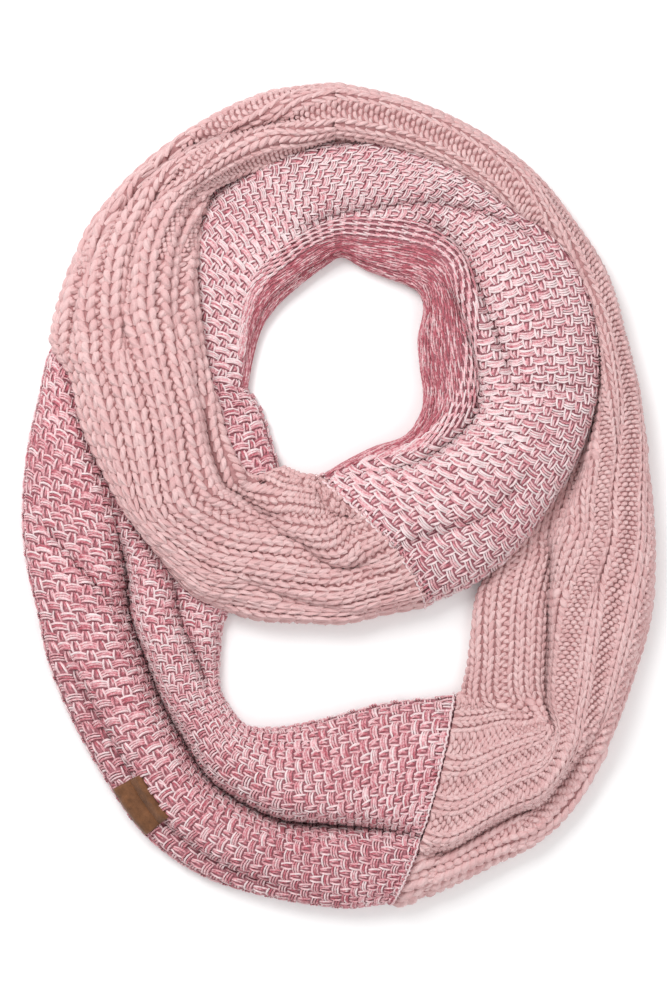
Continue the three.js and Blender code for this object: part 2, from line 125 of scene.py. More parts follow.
# Stations give the outer edge, a point half way and the inner edge of a section, its crest height,
# and the share of its width, from the outer edge, that a stretch above presses down.
# Folds give the stations they run between, their place across the width at the start, middle and
# end, their depth, half width, and how much lower the cloth lies on their outer side. No fold goes
# deeper than the fold floor, the least height of the cloth with what it lies on.
STRETCHES = {
    "rib_panel_right": {
        "ribs": (7.6, 5.2, 3.8),
        "pressed_height": 11,
        "fold_floor": 3,
        "layers": 2,
        "rests_on": (),
        "stations": (
            (31, -226, 50, -177, 66, -111, 27, 1.2, 1.3),
            (51, -220, 66, -176, 79, -114, 27, 1.2, 1.3),
            (75, -209, 84, -166, 93, -118, 27, 1.2, 1.3),
            (93, -200, 99, -158, 105, -121, 27, 1.2, 1.3),
            (111, -190, 113, -152, 116, -121, 27, 1.2, 1.3),
            (132, -169, 124, -134, 110, -124, 26, 1.2, 1.3),
            (150, -136, 128, -110, 72, -119, 26, 1.2, 1.3),
            (163, -100, 131, -77, 74, -92, 26, 1.2, 1.3),
            (173, -64, 135, -47, 78, -58, 26, 1.1, 1.3),
            (175, -31, 141, -25, 85, -40, 26, 0.8, 1.3),
            (174, -1, 142, -1, 102, -12, 25, 0.66, 1.3),
            (171, 30, 146, 27, 113, 16, 25, 0.58, 1.3),
            (167, 60, 145, 55, 118, 44, 25, 0.45, 1.3),
            (159, 91, 141, 85, 117, 71, 24, 0.36, 1.3),
            (149, 125, 132, 111, 110, 95, 24, 0.3, 1.3),
            (129, 156, 117, 141, 103, 128, 25, 0.34, 1.3),
            (106, 183, 99, 170, 93, 161, 27, 0.8, 1.3),
            (75, 205, 71, 193, 68, 181, 28, 1.2, 1.3),
            (39, 221, 37, 209, 34, 195, 28, 1.2, 1.3),
            (0, 230, 0, 216, -1, 201, 29, 1.2, 1.3),
        ),
        "folds": (
            (-1, 6.6, 0.31, 0.29, 0.16, 12, 11, 7),
            (4.4, 10.4, 0.66, 0.62, 0.86, 9, 10, -13),
            (7, 12, 0.42, 0.38, 0.3, 5, 9, 0),
        ),
    },
    "rib_panel_crossing": {
        "ribs": (3.8, 8.2, 9.0),
        "pressed_height": 0,
        "fold_floor": 17,
        "layers": 2,
        "rests_on": ("tuck_panel_ring", "tuck_panel_outer"),
        "stations": (
            (0, 230, 0, 216, -1, 201, 29, 1.2, 1.3),
            (-40, 225, -36, 208, -30, 189, 30, 1.2, 1.3),
            (-76, 209, -67, 194, -56, 180, 31, 1.2, 1.3),
            (-108, 186, -90, 177, -70, 173, 33, 1.2, 1.3),
            (-133, 157, -106, 157, -75, 161, 35, 1.2, 1.3),
            (-145, 133, -114, 137, -79, 145, 37, 1.2, 1.3),
            (-155, 106, -117, 110, -80, 125, 38, 1.2, 1.3),
            (-158, 86, -117, 88, -78, 99, 38, 1.2, 1.3),
            (-148, 68, -109, 66, -74, 76, 38, 1.2, 1.3),
            (-143, 44, -104, 43, -67, 54, 38, 1.2, 1.3),
            (-132, 19, -101, 19, -60, 33, 37, 1.2, 1.3),
            (-118, -6, -96, -5, -47, 17, 36, 1.2, 1.3),
            (-100, -30, -80, -21, -36, 17, 34, 1.2, 1.3),
            (-82, -52, -60, -31, -27, 14, 32, 1.2, 1.3),
            (-65, -60, -42, -33, -20, 12, 30, 1.2, 1.3),
            (-44, -66, -24, -36, -16, 12, 29, 1.2, 1.3),
            (-22, -67, -9, -40, -13, 11, 28, 1.2, 1.3),
            (2, -68, 5, -40, -11, 10, 28, 1.2, 1.3),
            (25, -63, 18, -34, -10, 10, 27, 1.2, 1.3),
            (48, -59, 29, -26, -11, 12, 27, 1.2, 1.3),
        ),
        "folds": (
            (0.4, 3.4, 0.56, 0.34, 0.08, 12, 10, 3),
            (2.2, 7.4, 0.24, 0.17, 0.14, 8, 7, 0),
            (2.6, 7.8, 0.46, 0.5, 0.46, 9, 7, 2),
            (2.4, 8.2, 0.84, 0.86, 0.8, 8, 7, 2),
            (10.6, 18.8, 0.97, 0.66, 0.45, 9, 11, 5),
            (15.2, 18.8, 0.93, 0.84, 0.72, 8, 9, 0),
            (13.4, 17.6, 0.34, 0.24, 0.1, 7, 9, 3),
            (7.6, 14.6, 0.86, 0.84, 0.74, 8, 8, -4),
        ),
    },
    "tuck_panel_ring": {
        "ribs": None,
        "pressed_height": 12,
        "fold_floor": 14,
        "layers": 2,
        "rests_on": ("rib_panel_right",),
        "stations": (
            (48, -59, 29, -26, -11, 12, 27, -1, -1),
            (74, -48, 48, -12, 4, 21, 28, -1, -1),
            (99, -30, 71, -1, 20, 29, 30, -1, -1),
            (118, -6, 89, 21, 37, 35, 31, -1, -1),
            (135, 23, 102, 39, 46, 47, 31, -1, -1),
            (145, 53, 107, 58, 48, 58, 31, -1, -1),
            (148, 83, 107, 82, 46, 75, 31, -1, -1),
            (145, 111, 104, 106, 45, 90, 30, -1, -1),
            (138, 134, 96, 128, 48, 105, 29, -1, -1),
            (123, 155, 85, 148, 46, 115, 28, -1, -1),
            (107, 171, 68, 160, 39, 120, 26, -1, -1),
            (84, 184, 48, 168, 28, 124, 25, -1, -1),
            (56, 196, 26, 171, 15, 129, 24, -1, -1),
            (26, 204, 4, 172, 2, 136, 24, -1, 0),
            (-5, 206, -22, 169, -9, 130, 23, -1, 0.12),
            (-47, 204, -43, 165, -22, 120, 22, -1, 0.28),
            (-89, 184, -69, 152, -34, 109, 20, -1, 0.4),
            (-120, 156, -83, 127, -43, 96, 18, -1, 0.56),
            (-136, 128, -94, 99, -48, 79, 17, -1, 0.7),
            (-148, 100, -103, 75, -51, 62, 17, -1, 0.8),
        ),
        "folds": (
            (0.4, 9.4, 0.93, 0.76, 0.94, 9, 10, -3),
            (4.6, 11.4, 0.55, 0.71, 0.6, 8, 11, 4),
            (7.6, 15, 0.16, 0.56, 0.76, 5, 12, -3),
            (-0.4, 3.4, 0.5, 0.38, 0.28, 5, 12, 0),
        ),
    },
    "tuck_panel_outer": {
        "ribs": None,
        "pressed_height": 12,
        "fold_floor": 3,
        "layers": 3,
        "rests_on": (),
        "stations": (
            (-148, 100, -103, 75, -51, 62, 17, -0.2, 0.8),
            (-162, 83, -106, 50, -43, 49, 22, 0.08, 0.82),
            (-168, 58, -107, 27, -38, 33, 25, 0.2, 0.84),
            (-174, 30, -108, 5, -34, 12, 27, 0.32, 0.95),
            (-177, -1, -111, -17, -43, -23, 28, 0.46, 1.3),
            (-176, -31, -112, -43, -55, -51, 28, 0.66, 1.3),
            (-169, -62, -114, -65, -65, -71, 28, 1, 1.3),
            (-162, -94, -108, -90, -67, -90, 27, 1.2, 1.3),
            (-149, -125, -100, -114, -67, -107, 27, 1.2, 1.3),
            (-131, -157, -89, -135, -61, -118, 27, 1.2, 1.3),
            (-109, -188, -75, -157, -53, -127, 27, 1.2, 1.3),
            (-77, -211, -55, -171, -42, -129, 27, 1.2, 1.3),
            (-39, -223, -31, -180, -28, -128, 27, 1.2, 1.3),
            (0, -229, -2, -180, -9, -124, 27, 1.2, 1.3),
            (18, -228, 24, -178, 26, -115, 27, 1.2, 1.3),
            (31, -226, 50, -177, 66, -111, 27, 1.2, 1.3),
        ),
        "folds": (
            (2.4, 16, 0.33, 0.52, 0.36, 24, 13, 3),
            (3.8, 8.4, 0.54, 0.75, 0.92, 9, 11, -8),
            (6.2, 12.8, 0.1, 0.14, 0.08, 7, 8, 4),
            (4.1, 6.2, 0.02, 0.26, 0.46, 6, 9, -3),
        ),
    },
}

# Short wrinkles across a stretch, seen in the cloth only: the stretch, the station, the shares of the
# width they run between, and their depth and half width
WRINKLES = (
    ("tuck_panel_ring", 5.2, 0.06, 0.62, 4.5, 8.0),
    ("tuck_panel_ring", 10.6, 0.2, 0.5, 2.0, 9.0),
    ("tuck_panel_outer", 6.3, 0.08, 0.3, 2.5, 9.0),
    ("tuck_panel_outer", 8.4, 0.62, 0.9, 3.0, 9.0),
    ("rib_panel_crossing", 15.4, 0.1, 0.5, 1.6, 8.0),
    ("rib_panel_right", 8.2, 0.15, 0.5, 1.8, 12.0),
)

# How the stitches of each rib stretch lie, at its start, middle and end: the pitch of its rows at the
# middle of the width, the share of a rib that its two knit columns take, and the shares of the width
# between which the purl gutters lie open
RIB_LAYOUT = {
    "rib_panel_right": {
        "row_pitch": (4.4, 5.0, 6.0), "knit_share": (0.5, 0.44, 0.58),
        "open_from": (0.33, 0.08, 0.0), "open_to": (1.1, 0.6, 1.0)},
    "rib_panel_crossing": {
        "row_pitch": (6.0, 6.8, 5.4), "knit_share": (0.58, 0.84, 0.74),
        "open_from": (0.0, 0.0, 0.0), "open_to": (1.0, 1.0, 1.0)},
}

# Bands of tuck stitches: the shares of the width they lie between at the start, middle and end of the
# stretch, how many cells lie across, the pitch of their rows, their pattern and how much paler they are
TUCK_LAYOUT = {
    "tuck_panel_ring": (
        ((0.01, 0.01, 0.01), (0.92, 0.64, 0.92), 15, 5.4, "basket", 0.26),
        ((0.92, 0.64, 0.92), (0.92, 0.74, 0.92), 4, 7.0, "ladder", 0.05),
        ((0.92, 0.74, 0.92), (0.99, 0.99, 0.99), 12, 4.4, "floats", -0.12),
    ),
    "tuck_panel_outer": (
        ((0.01, 0.01, 0.01), (0.33, 0.5, 0.36), 12, 5.4, "basket", 0.0),
        ((0.33, 0.5, 0.36), (0.99, 0.99, 0.99), 16, 5.4, "basket", 0.06),
    ),
}

# Kinds of strand, with how far each rises and bows sideways at its middle, in millimetres
RIB_KINDS = (("Knit leg", 0.9, 0.45), ("Purl bump", 1.5, 0.8))
TUCK_KINDS = (("Float", 1.5, 1.0), ("Upright", 0.8, 0.5), ("Reverse float", 0.7, 0.3))


def smooth(x):
    c = np.clip(x, 0, 1)
    return c * c * (3 - 2 * c)


def valley(x):
    """A fold's cross-section: two rounded rolls that meet in a sharp valley."""
    return (1 - np.minimum(1, np.abs(x))) ** 2


def column_at(stations, u):
    """Smooth values of every column between stations, as a dict of upright arrays."""
    table = np.array(stations, float)
    last = len(table) - 1
    k = np.clip(np.floor(u).astype(int), 0, last - 1)
    f = (u - k)[:, None]
    a, b, c, d = (table[np.clip(k + step, 0, last)] for step in (-1, 0, 1, 2))
    rows = b + 0.5 * f * (c - a + f * (2 * a - 5 * b + 4 * c - d + f * (3 * (b - c) + d - a)))
    return {name: rows[:, i:i + 1] for i, name in enumerate(STATION)}


def plan_points(rows, t):
    """Plan line of a section, from the outer edge through the half-way point to the inner edge."""
    places = []
    for axis in "xy":
        outer, middle, inner = (rows[f"{where}_{axis}"] for where in ("outer", "mid", "inner"))
        control = 2 * middle - (outer + inner) / 2
        places.append((1 - t) ** 2 * outer + 2 * t * (1 - t) * control + t * t * inner)
    return np.stack(places, axis=-1)


def plan_directions(rows, t):
    places = []
    for axis in "xy":
        outer, middle, inner = (rows[f"{where}_{axis}"] for where in ("outer", "mid", "inner"))
        control = 2 * middle - (outer + inner) / 2
        places.append((1 - t) * (control - outer) + t * (inner - control))
    direction = np.stack(places, axis=-1)
    return direction / np.linalg.norm(direction, axis=-1, keepdims=True)


def height_at(name, rows, width, u, t, station_length):
    """Height of the cloth at a share t of the width, how far it is pressed down, and the painted shade of its
    folds.
    """
    stretch = STRETCHES[name]
    shade = np.zeros_like(t)
    round_off = np.maximum(1 - np.abs(2 * t - 1) ** EDGE_SQUARENESS, 0) ** (1 / EDGE_SQUARENESS)
    z = rows["crest"] * round_off
    for row in stretch["folds"]:
        fold = dict(zip(FOLD, row))
        along = (u - fold["start_station"]) / (fold["end_station"] - fold["start_station"])
        inside = (along > 0) & (along < 1)
        fade = smooth(FOLD_FADE * np.minimum(along, 1 - along)) * inside
        bend = 4 * along * (1 - along)
        place = fold["start"] + (fold["end"] - fold["start"]) * along
        place = place + (fold["middle"] - (fold["start"] + fold["end"]) / 2) * bend
        away = (t - place) * width / fold["half"]
        steep = away * DROP_SHARPNESS * (1 if fold["drop"] > 0 else -1)
        low_side = smooth(0.5 - steep)
        edge = smooth(FOLD_FADE * np.minimum(t, 1 - t) * width / fold["half"])
        lowered = fold["depth"] * valley(away) * edge + abs(fold["drop"]) * low_side * round_off
        z = z - fade * lowered
        # Painted shade: a dark line in the colour along the bottom of each fold, darker for deeper folds
        darkness = min(1, fold["depth"] / DARKEST_FOLD)
        shade = np.maximum(shade, fade * edge * darkness * valley(away * FOLD_SHADE))
    z = np.maximum(z, np.minimum(rows["crest"] * round_off, stretch["fold_floor"]))
    pressed = smooth((t - rows["press_from"]) / PRESS_BLEND + 0.5)
    pressed = pressed * smooth((rows["press_to"] - t) / PRESS_BLEND + 0.5)
    z = z + (np.minimum(z, stretch["pressed_height"]) - z) * pressed
    for owner, station, start, end, depth, half in WRINKLES:
        if owner == name:
            fade = smooth((t - start) * WRINKLE_FADE) * smooth((end - t) * WRINKLE_FADE)
            z = z - fade * depth * valley((u - station) * station_length / half)
    return z, pressed, shade


def edge_draw_in(stretch, rows, t, z):
    """How far an edge is drawn in at a height: its curl under, and the lines between its layers."""
    draw_in = np.where(z < TUCK_HEIGHT, TUCK_DEPTH * (1 - z / TUCK_HEIGHT) ** 2, 0)
    reach = smooth(1 - np.minimum(t, 1 - t) / LAYER_GROOVE_REACH)
    for layer in range(1, stretch["layers"]):
        line = rows["crest"] * layer / stretch["layers"]
        draw_in = draw_in + LAYER_GROOVE * reach * valley((z - line) / LAYER_GROOVE_HALF)
    return draw_in


def place_on_plan(rows, width, across, z):
    t = across / width
    inside = np.clip(t, 0, 1)
    point = plan_points(rows, inside) + plan_directions(rows, inside) * ((t - inside) * width)[..., None]
    return np.concatenate((point, z[..., None]), axis=-1)


def along_stretch(values, progress):
    """A value that goes from the first to the middle to the last, at a progress from 0 to 1."""
    first, middle, last = values
    bend = 4 * progress * (1 - progress)
    return first + (last - first) * progress + (middle - (first + last) / 2) * bend


def rib_place(stretch, progress, share):
    """Place in the row of ribs, counted from the middle of the width; gutters lie at whole numbers."""
    return along_stretch(stretch["ribs"], progress) * (share - 0.5)


def share_of_rib(stretch, progress, place):
    """The share of the width at a place in the row of ribs."""
    return 0.5 + place / along_stretch(stretch["ribs"], progress)


def rib_lift(stretch, progress, share, z, pressed):
    """The raised ribs that run along the strip, fading where the cloth is pressed or meets the floor."""
    if not stretch["ribs"]:
        return np.zeros_like(share)
    wave = 0.5 - 0.5 * np.cos(2 * np.pi * rib_place(stretch, progress, share))
    return RIB_HEIGHT * np.sqrt(wave) * smooth((z - RIB_FADE_FROM) / RIB_FADE_OVER) * (1 - pressed)


def middle_run(rows):
    """Length along the middle of the strip up to each section."""
    steps = np.hypot(np.diff(rows["mid_x"][:, 0]), np.diff(rows["mid_y"][:, 0]))
    return np.concatenate(([0], np.cumsum(steps)))


class Cloth:
    """The surface of one stretch: rings of points from its outer edge to its inner edge, in mm."""

    def __init__(self, name, supports):
        stretch = STRETCHES[name]
        self.name = name
        self.stretch = stretch
        self.last = len(stretch["stations"]) - 1
        finely = column_at(stretch["stations"], np.linspace(0, self.last, MIDDLE_STEPS))
        self.rings = int(middle_run(finely)[-1] / RING_SPACING)
        self.u = np.linspace(0, self.last, self.rings + 1)
        self.draw(supports)

    def draw(self, supports):
        """Works out the sections, cut to what shows above the supports, and evenly spaced points on them."""
        stretch, u = self.stretch, self.u[:, None]
        rows = column_at(stretch["stations"], self.u)
        self.rows = rows
        measured = plan_points(rows, np.linspace(0, 1, WIDTH_STEPS + 1)[None, :])
        width = np.linalg.norm(np.diff(measured, axis=1), axis=-1).sum(axis=1)[:, None]
        self.width = width
        t = (0.5 - 0.5 * np.cos(np.pi * np.arange(FINE_STEPS + 1) / FINE_STEPS))[None, :]
        t = np.repeat(t, len(self.u), axis=0)
        station_length = np.gradient(middle_run(rows), self.u)[:, None]
        z, pressed, shade = height_at(self.name, rows, width, u, t, station_length)
        z[:, 0] = z[:, -1] = 0
        across = t * width + np.where(t < 0.5, 1, -1) * edge_draw_in(stretch, rows, t, z)
        points = place_on_plan(rows, width, across, z)
        floor = self.support_height(points, supports)
        run = np.concatenate((np.zeros((len(u), 1)), np.cumsum(
            np.hypot(np.diff(across, axis=1), np.diff(z, axis=1)), axis=1)), axis=1)
        lines = []
        for i in range(len(u)):
            shown = np.flatnonzero(z[i] >= floor[i])
            first, end = shown[0], shown[-1]
            wanted = np.linspace(run[i, first], run[i, end], ACROSS_STEPS + 1)
            lines.append([np.interp(wanted, run[i], values)
                          for values in (across[i], z[i], pressed[i], shade[i], run[i] / run[i, -1])])
        self.across, self.z, self.pressed, self.shade, self.share = np.array(lines).transpose(1, 0, 2)
        self.length_across = run[:, -1]
        lift = rib_lift(stretch, u / self.last, self.share, self.z, self.pressed)
        self.points, self.normals = self.lifted(lift)
        self.under = self.underside(supports)

    def lifted(self, lift):
        """The points moved outwards by a lift, and their outward directions."""
        steps = np.arange(ACROSS_STEPS + 1)
        before = np.maximum(0, steps - DIRECTION_REACH)
        after = np.minimum(ACROSS_STEPS, steps + DIRECTION_REACH)
        step_across = self.across[:, after] - self.across[:, before]
        step_up = self.z[:, after] - self.z[:, before]
        size = np.hypot(step_across, step_up)
        across = self.across - lift * step_up / size
        z = self.z + lift * step_across / size
        z[:, 0], z[:, -1] = self.z[:, 0], self.z[:, -1]
        flat = plan_directions(self.rows, np.clip(across / self.width, 0, 1))
        sideways = flat * (-step_up / size)[..., None]
        normals = np.concatenate((sideways, (step_across / size)[..., None]), axis=-1)
        return place_on_plan(self.rows, self.width, across, z), normals

    def support_height(self, points, supports):
        """Height of what the cloth lies on, below each point."""
        heights = np.zeros(points.shape[:2])
        for tree in supports:
            for index in np.ndindex(heights.shape):
                x, y = points[index][:2]
                hit = tree.ray_cast(Vector((x, y, RAY_TOP)), Vector((0, 0, -1)))[0]
                if hit:
                    heights[index] = max(heights[index], hit.z + REST_GAP)
        return heights

    def underside(self, supports):
        """The underside's points, from the outer edge to the inner edge, resting on what is below."""
        shares = np.linspace(0, 1, UNDER_STEPS + 1)[1:-1][None, :]
        across = self.across[:, :1] + (self.across[:, -1:] - self.across[:, :1]) * shares
        points = place_on_plan(self.rows, self.width, across, np.zeros_like(across))
        height = self.support_height(points, supports)
        spread = height.copy()
        spread[1:] = np.maximum(spread[1:], height[:-1])
        spread[:-1] = np.maximum(spread[:-1], height[1:])
        points[..., 2] = spread
        return points

    def tree(self):
        """The top as a tree that rays can be cast at."""
        size = ACROSS_STEPS + 1
        faces = []
        for i in range(self.rings):
            for k in range(ACROSS_STEPS):
                a = i * size + k
                faces.append((a, a + 1, a + 1 + size, a + size))
        return BVHTree.FromPolygons([tuple(p) for p in self.points.reshape(-1, 3)], faces)

    def at(self, u, share):
        """Point, outward direction, pressed share and painted fold shade at a station and a share of the
        width.
        """
        ring = np.asarray(u, float) / self.last * self.rings
        low = np.clip(np.floor(ring).astype(int), 0, self.rings - 1)
        f = ring - low
        found = []
        for k in (low, low + 1):
            start, end = self.share[k, 0], self.share[k, -1]
            step = np.clip((share - start) / (end - start), 0, 1) * ACROSS_STEPS
            j = np.clip(np.floor(step).astype(int), 0, ACROSS_STEPS - 1)
            g = (step - j)[..., None]
            here = [values[k, j] * (1 - g) + values[k, j + 1] * g for values in (self.points, self.normals)]
            hidden = (share < start - HIDDEN_MARGIN) | (share > end + HIDDEN_MARGIN)
            here.append(np.where(hidden, 1.0, MOST_PRESSED * self.pressed[k, j]))
            here.append(self.shade[k, j])
            found.append(here)
        g = f[..., None]
        point = found[0][0] * (1 - g) + found[1][0] * g
        normal = found[0][1] * (1 - g) + found[1][1] * g
        pressed, shade = (found[0][i] * (1 - f) + found[1][i] * f for i in (2, 3))
        return point, normal, pressed, shade

    def rows_along(self, share, pitch):
        """Stations of rows a pitch apart, measured along the strip at a share of its width."""
        points = self.at(self.u, share)[0]
        steps = np.linalg.norm(np.diff(points, axis=0), axis=1)
        run = np.concatenate(([0], np.cumsum(steps / along_stretch(pitch, self.u[1:] / self.last))))
        count = max(1, round(run[-1]))
        return np.interp(np.linspace(0, run[-1], count + 1), run, self.u)


# Rows of stitches closer than this, in mm, are merged in pairs, and closer than half of it in fours
LEAST_SPACING = 2.6

# How much the thickness of a strand follows the room it has: a purl bump's along the strip, next to its
# usual row spacing in mm, and any strand's across it, next to the mean width within a near share
PURL_SPACING = 5
PURL_RANGE = (0.9, 1.35)
ACROSS_RANGE = (0.85, 1.15)
NEAR_SHARE = 0.02
EDGE_SHARE = 0.01

# How far a strand's middle follows the cloth, down and up, in mm
SAG_RANGE = (-0.6, 3)

# Strands that are kept: the most they may be pressed, the least height of their middle, and the least and
# greatest length, in mm
PRESSED_AWAY = 0.97
LEAST_HEIGHT = 1.6
LEAST_LENGTH = 0.8
GREATEST_LENGTH = 24

# Where a strand is tested for being covered, round its own place, in mm
COVER_SPOTS = ((0, 0), (5, 0), (-5, 0), (0, 5), (0, -5))


class Strands:
    """Ends, thickness and kind of every strand of a piece, gathered before they are placed."""

    def __init__(self, cloth, covers):
        self.cloth = cloth
        self.covers = covers
        self.rows = []

    def add(self, kind, start, end, thickness=1.0, lifts=(0.0, 0.0), flip=False, tone=0.5, row=0, step=0.0):
        """A strand from one (station, share) to another; squeezed rows of a given step are merged."""
        self.rows.append((kind, *start, *end, thickness, *lifts, flip, tone, row, step))

    def uncovered(self, centre):
        """Whether each strand shows, and isn't hidden well inside the stretch that lies over it."""
        shown = np.ones(len(centre), dtype=bool)
        for index, point in enumerate(centre):
            for tree in self.covers:
                spots = [Vector((point[0] + dx, point[1] + dy, RAY_BOTTOM)) for dx, dy in COVER_SPOTS]
                if all(tree.ray_cast(spot, Vector((0, 0, 1)))[0] for spot in spots):
                    shown[index] = False
        return shown

    def point_mesh(self, name, nominal_length, random):
        """A mesh of one point for each strand, which the stitch tree reads."""
        kind, u0, s0, u1, s1, thickness, lift0, lift1, flip, tone, row, step = np.array(self.rows, float).T
        place = self.cloth.at
        spacing = np.linalg.norm(place(u0 + step, s0)[0] - place(u0, s0)[0], axis=1)
        squeezed = np.where(spacing > LEAST_SPACING / 2, 2, 4)
        merged = np.where((step == 0) | (spacing > LEAST_SPACING), 1, squeezed)
        u1 = np.where(kind == 0, u0 + (u1 - u0) * merged, u1)
        purl = (kind == 1) & (step > 0)
        thickness = thickness * np.where(purl, np.clip(spacing * merged / PURL_SPACING, *PURL_RANGE), 1)
        inside = (np.minimum(s0, s1) > 0) & (np.maximum(s0, s1) < 1)
        start, normal_a, pressed_a, _ = place(u0, s0)
        end, normal_b, pressed_b, _ = place(u1, s1)
        # The painted fold shade at a strand's middle goes with it, to darken its colour
        middle, _, _, shade = place((u0 + u1) / 2, (s0 + s1) / 2)
        sag = middle - (start + end) / 2
        before = place(u0, np.maximum(EDGE_SHARE, s0 - NEAR_SHARE))[0]
        after = place(u0, np.minimum(1 - EDGE_SHARE, s0 + NEAR_SHARE))[0]
        usual = 2 * NEAR_SHARE * self.cloth.length_across.mean()
        thickness = thickness * np.clip(np.linalg.norm(after - before, axis=1) / usual, *ACROSS_RANGE)
        start = start + normal_a * lift0[:, None]
        end = end + normal_b * lift1[:, None]
        normal = normal_a + normal_b
        normal /= np.linalg.norm(normal, axis=1, keepdims=True)
        along = end - start
        length = np.linalg.norm(along, axis=1, keepdims=True)
        along = along / np.maximum(length, 1e-6)
        side = np.cross(normal, along)
        side /= np.linalg.norm(side, axis=1, keepdims=True)
        up = np.cross(along, side)
        centre = (start + end) / 2 + up * np.clip((sag * up).sum(axis=1), *SAG_RANGE)[:, None]
        turn = np.where(flip > 0, -1.0, 1.0)[:, None]
        keep = (np.maximum(pressed_a, pressed_b) < PRESSED_AWAY) & (centre[:, 2] > LEAST_HEIGHT)
        keep &= (length[:, 0] > LEAST_LENGTH) & (length[:, 0] < GREATEST_LENGTH)
        keep &= (row % merged == 0) & inside
        keep[keep] = self.uncovered(centre[keep])
        eulers = [
            Matrix(np.column_stack((x, y, z)).tolist()).to_euler()
            for x, y, z in zip((along * turn)[keep], (side * turn)[keep], up[keep])
        ]
        count = int(keep.sum())
        mesh = bpy.data.meshes.new(name)
        mesh.from_pydata([tuple(p) for p in centre[keep] * MM], [], [])
        nominal = np.array(nominal_length)[kind[keep].astype(int)]
        size = np.column_stack((length[keep, 0] / nominal, thickness[keep], thickness[keep]))
        for label, values in (("turn", np.array(eulers)), ("size", size)):
            layer = mesh.attributes.new(label, "FLOAT_VECTOR", "POINT")
            layer.data.foreach_set("vector", np.ascontiguousarray(values, dtype=np.float32).ravel())
        for label, values in (("kind", kind[keep]), ("tone", tone[keep]), ("phase", random.random(count)),
                              ("shade", shade[keep])):
            layer = mesh.attributes.new(label, "FLOAT", "POINT")
            layer.data.foreach_set("value", np.ascontiguousarray(values, dtype=np.float32))
        return mesh


def link(tree, source, target):
    tree.links.new(source, target)


